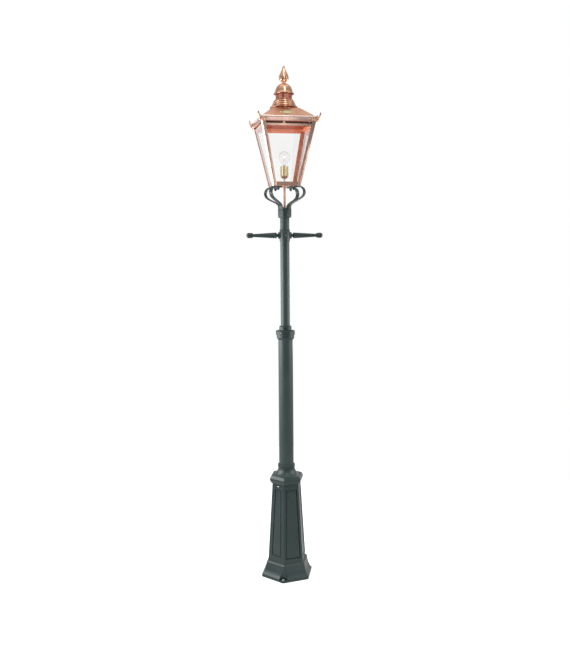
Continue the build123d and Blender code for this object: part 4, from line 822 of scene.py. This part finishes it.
roll_bulge = roll_swell * np.abs(np.sin(pi * roll_count * roll_share)) ** roll_fullness
roll_wide = np.interp(roll_share, (0, 1), roll_radii) + roll_bulge
roll_tall = roll_foot + roll_share * roll_count * roll_height
skirt_rolls = np.stack([roll_wide, roll_tall], axis=-1)
skirt_foot_line = smooth_line(skirt_rim, skirt_rows)
skirt_head_line = smooth_line(skirt_head, skirt_rows)
skirt_profile = np.concatenate([skirt_foot_line, skirt_rolls, skirt_head_line])
copper_spun = copper("copper_spun", spun_colour, 0.12, 0.05 * MM, spun_underside_shade_colour, ring_pitch=1.5 * MM)
finish_nodes(copper_spun, "chimney_skirt", "dome_cap", "finial")
finish_nodes(copper("copper_neck", neck_shade_colour, 0.28, 0.05 * MM), "vent_neck")
skirt_foot = np.array([0, 0, box_of("chimney_skirt")[0][2]])
skirt_grid = skirt_foot + carried_round(skirt_profile, spun_steps)
skirt_mesh = skin("skirt", [skirt_grid], sharp=spun_sharp)
skirt = piece("skirt", skirt_mesh, copper_spun, "roof")
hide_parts("chimney_skirt")
cap_foot = np.array([0, 0, box_of("dome_cap")[0][2]])
cap_grid = cap_foot + carried_round(smooth_line(cap_profile, cap_rows), spun_steps)
cap_mesh = skin("cap", [cap_grid], sharp=spun_sharp)
cap = piece("cap", cap_mesh, copper_spun, "roof")
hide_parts("dome_cap")

# Finial
# A cast copper bud screwed on the cap: four round lobes on the diagonals carry a fluted drop that draws
# out to a blunt tip.
bud_profile = np.array([
    (12.0, 0), (11.2, 4), (12.5, 8), (18.5, 12), (25.5, 18), (27.0, 25), (25.4, 34),
    (22.0, 45), (17.5, 55), (12.8, 65), (8.6, 74), (6.4, 81), (5.8, 87), (3.6, 90.3), (0, 91),
]) * MM
bud_rows = 120
bud_steps = 96
lobe_depth = 0.30
lobe_fullness = 0.6
lobe_middle = 20 * MM
lobe_spread = 9 * MM
flute_count = 8
flute_depth = 0.05
flute_twist = 6.0
flute_low = 36 * MM
flute_low_fade = 12 * MM
flute_high = 84 * MM
flute_high_fade = 20 * MM
bud = smooth_line(bud_profile, bud_rows)
bud_level = bud[:, 1]
bud_angle = np.linspace(0, 2 * pi, bud_steps, endpoint=False)
lobed = 1 - np.abs(np.cos(2 * (bud_angle - pi / 4))) ** lobe_fullness
lobe_band = np.exp(-((bud_level - lobe_middle) / lobe_spread) ** 4)
flute_start = np.clip((bud_level - flute_low) / flute_low_fade, 0, 1)
flute_end = np.clip((flute_high - bud_level) / flute_high_fade, 0, 1)
flute_band = flute_start * flute_end
fluted = 0.5 - 0.5 * np.cos(flute_count * (bud_angle[None, :] + flute_twist * bud_level[:, None]))
bud_scale = 1 - lobe_depth * lobe_band[:, None] * lobed - flute_depth * flute_band[:, None] * fluted
bud_foot = np.array([0, 0, box_of("finial")[0][2]])
bud_mesh = skin("bud", [bud_foot + carried_round(bud, bud_steps, bud_scale)])
copper_bud = copper("copper_bud", spun_colour, 0.14, 0.1 * MM, cast_colour)
bud_piece = piece("bud", bud_mesh, copper_bud, "roof")
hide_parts("finial")

# Hinge
# A brass butt hinge between the top frame and the eaves at the back, whose leaves turn on a plain
# steel pin.
finish_nodes(brass, "hinge_leaf_fixed", "hinge_leaf_moving")
finish_nodes(bright_steel, "hinge_pin")

# Floor and backdrop
# A plain white floor that reaches past the view and keeps the post's soft shadow. Its white is lifted for
# the camera alone.
floor_radius = 2.5
floor_white = (0.80, 0.80, 0.80, 1)
floor_glow = 0.55
floor_sides = 96
floor_angle = np.linspace(0, 2 * pi, floor_sides, endpoint=False)
floor_mesh = bpy.data.meshes.new("floor")
floor_ring = np.stack([np.cos(floor_angle), np.sin(floor_angle), 0 * floor_angle], axis=-1)
floor_mesh.from_pydata((floor_radius * floor_ring).tolist(), [], [list(range(floor_sides))])
floor = bpy.data.objects.new("floor", floor_mesh)
bpy.context.scene.collection.objects.link(floor)
floor_material, wire = new_finish("floor_white")
matt = wire.node("BsdfDiffuse", None, {"Color": floor_white})
seen = wire.node("LightPath", out="Is Camera Ray")
glow = wire.node("Emission", None, {"Strength": floor_glow * seen})
wire.node("OutputMaterial", None, {"Surface": wire.node("AddShader", None, {0: matt, 1: glow})}, None)
floor_mesh.materials.append(floor_material)

# Light
# White paper behind and overhead, and a dim room on the camera's side, with a dark stand at the camera and
# a pale screen on either side of it. A strip overhead, two panels by the camera and low soft boxes on the
# left and right give the highlights.
room_level = 0.18
raised_level = 0.28
camera_end_shade = 0.35
stand_shade = 0.75
screen_level = 3.2
behind_level = 0.95
overhead_level = 0.92
mirror_share = 0.55
camera_right = (0.983, -0.183)
world = bpy.data.worlds.new("studio")
bpy.context.scene.world = world
world.use_nodes = True
world.node_tree.nodes.clear()
wire = Wire(world.node_tree)
direction = wire.node("TexCoord", out="Generated")
right, back, up = (direction.axis(letter) for letter in "XYZ")
front = 0.0 - back
behind = back.between(0.15, 0.70) * (1 - up.between(0.08, 0.16))
camera_end = front.between(0.55, 0.95)
raised = up.between(0.06, 0.16) * (1 - camera_end_shade * camera_end)
overhead = up.between(0.62, 0.96)
aside = wire.math("ABSOLUTE", camera_right[0] * right + camera_right[1] * back)
stand_band = up.between(0.07, 0.11) * (1 - up.between(0.30, 0.45))
stand = (1 - aside.between(0.05, 0.13)) * camera_end * stand_band
screen_band = up.between(0.035, 0.055) * (1 - up.between(0.11, 0.13))
screens = aside.between(0.50, 0.62) * (1 - aside.between(0.92, 0.97)) * front.between(0.0, 0.1)
room = (room_level + raised_level * raised) * (1 - stand_shade * stand)
room = room + screen_level * screens * screen_band
room = room * (1 - behind) + behind_level * behind
room = room * (1 - overhead) + overhead_level * overhead
mirrored = wire.math("MINIMUM", wire.node("LightPath", out="Glossy Depth"), 1.0)
through_glass = wire.node("LightPath", out="Is Transmission Ray") * (1 - mirror_share * mirrored)
plain = wire.math("MAXIMUM", wire.node("LightPath", out="Is Camera Ray"), through_glass)
level = room * (1 - plain) + plain
sky = wire.node("Background", None, {"Color": (1, 1, 1, 1), "Strength": level})
wire.node("OutputWorld", None, {"Surface": sky}, None)


def softbox(name, azimuth, distance, height, size, power, aim):
    """Rectangular lamp at an azimuth, a distance and a height, turned to a height on the post's axis.

    Its size is a width and a height in metres and its power is in watts. The camera doesn't see it.
    """
    lamp = bpy.data.lights.new(name, "AREA")
    lamp.shape = "RECTANGLE"
    lamp.size = size[0]
    lamp.size_y = size[1]
    lamp.energy = power
    holder = bpy.data.objects.new(name, lamp)
    bpy.context.scene.collection.objects.link(holder)
    angle = radians(azimuth)
    holder.location = Vector((distance * sin(angle), -distance * cos(angle), height))
    holder.rotation_euler = (Vector((0, 0, aim)) - holder.location).to_track_quat("-Z", "Y").to_euler()
    holder.visible_camera = False
    holder.visible_transmission = False


softbox("top_strip", 6.0, 2.6, 4.80, (1.1, 3.4), 28.0, 2.45)
softbox("eaves_panel", 7.0, 4.0, 3.10, (0.9, 0.36), 0.86, 2.4)
softbox("front_panel", 9.9, 4.0, 0.93, (0.23, 1.25), 1.05, 1.5)
softbox("left_box", -92.0, 1.5, 1.42, (1.8, 0.95), 32.0, 1.42)
softbox("left_foot", -92.0, 1.5, 0.72, (1.8, 0.45), 3.2, 1.0)
softbox("right_box", 73.0, 1.5, 1.42, (1.42, 0.95), 12.7, 1.42)
softbox("right_back", 140.0, 1.5, 1.42, (0.9, 0.95), 5.0, 1.42)
softbox("right_foot", 72.0, 1.5, 0.72, (1.3, 0.45), 1.4, 1.0)

# Camera
# Stands left of the lantern's front at about head height, almost level, with the frame shifted down. Its
# angles are in degrees.
camera_azimuth = -10.52
camera_distance = 3.9634
camera_height = 1.700
camera_heading = 10.521
camera_pitch = 0.868
camera_roll = -0.403
focal_pixels = 764.98
image_height = 652
sensor_width = 36.0
frame_shift = -0.105
camera_data = bpy.data.cameras.new("camera")
camera = bpy.data.objects.new("camera", camera_data)
bpy.context.scene.collection.objects.link(camera)
bpy.context.scene.camera = camera
camera_data.sensor_width = sensor_width
camera_data.lens = focal_pixels * sensor_width / image_height
camera_data.shift_y = frame_shift
camera_angle = radians(camera_azimuth)
camera_x = camera_distance * sin(camera_angle)
camera_y = -camera_distance * cos(camera_angle)
camera.location = (camera_x, camera_y, camera_height)
upright = Euler((pi / 2 - radians(camera_pitch), 0, -radians(camera_heading))).to_matrix()
camera.rotation_euler = (upright @ Matrix.Rotation(radians(camera_roll), 3, "Z")).to_euler()
bpy.context.scene.view_settings.view_transform = "Standard"
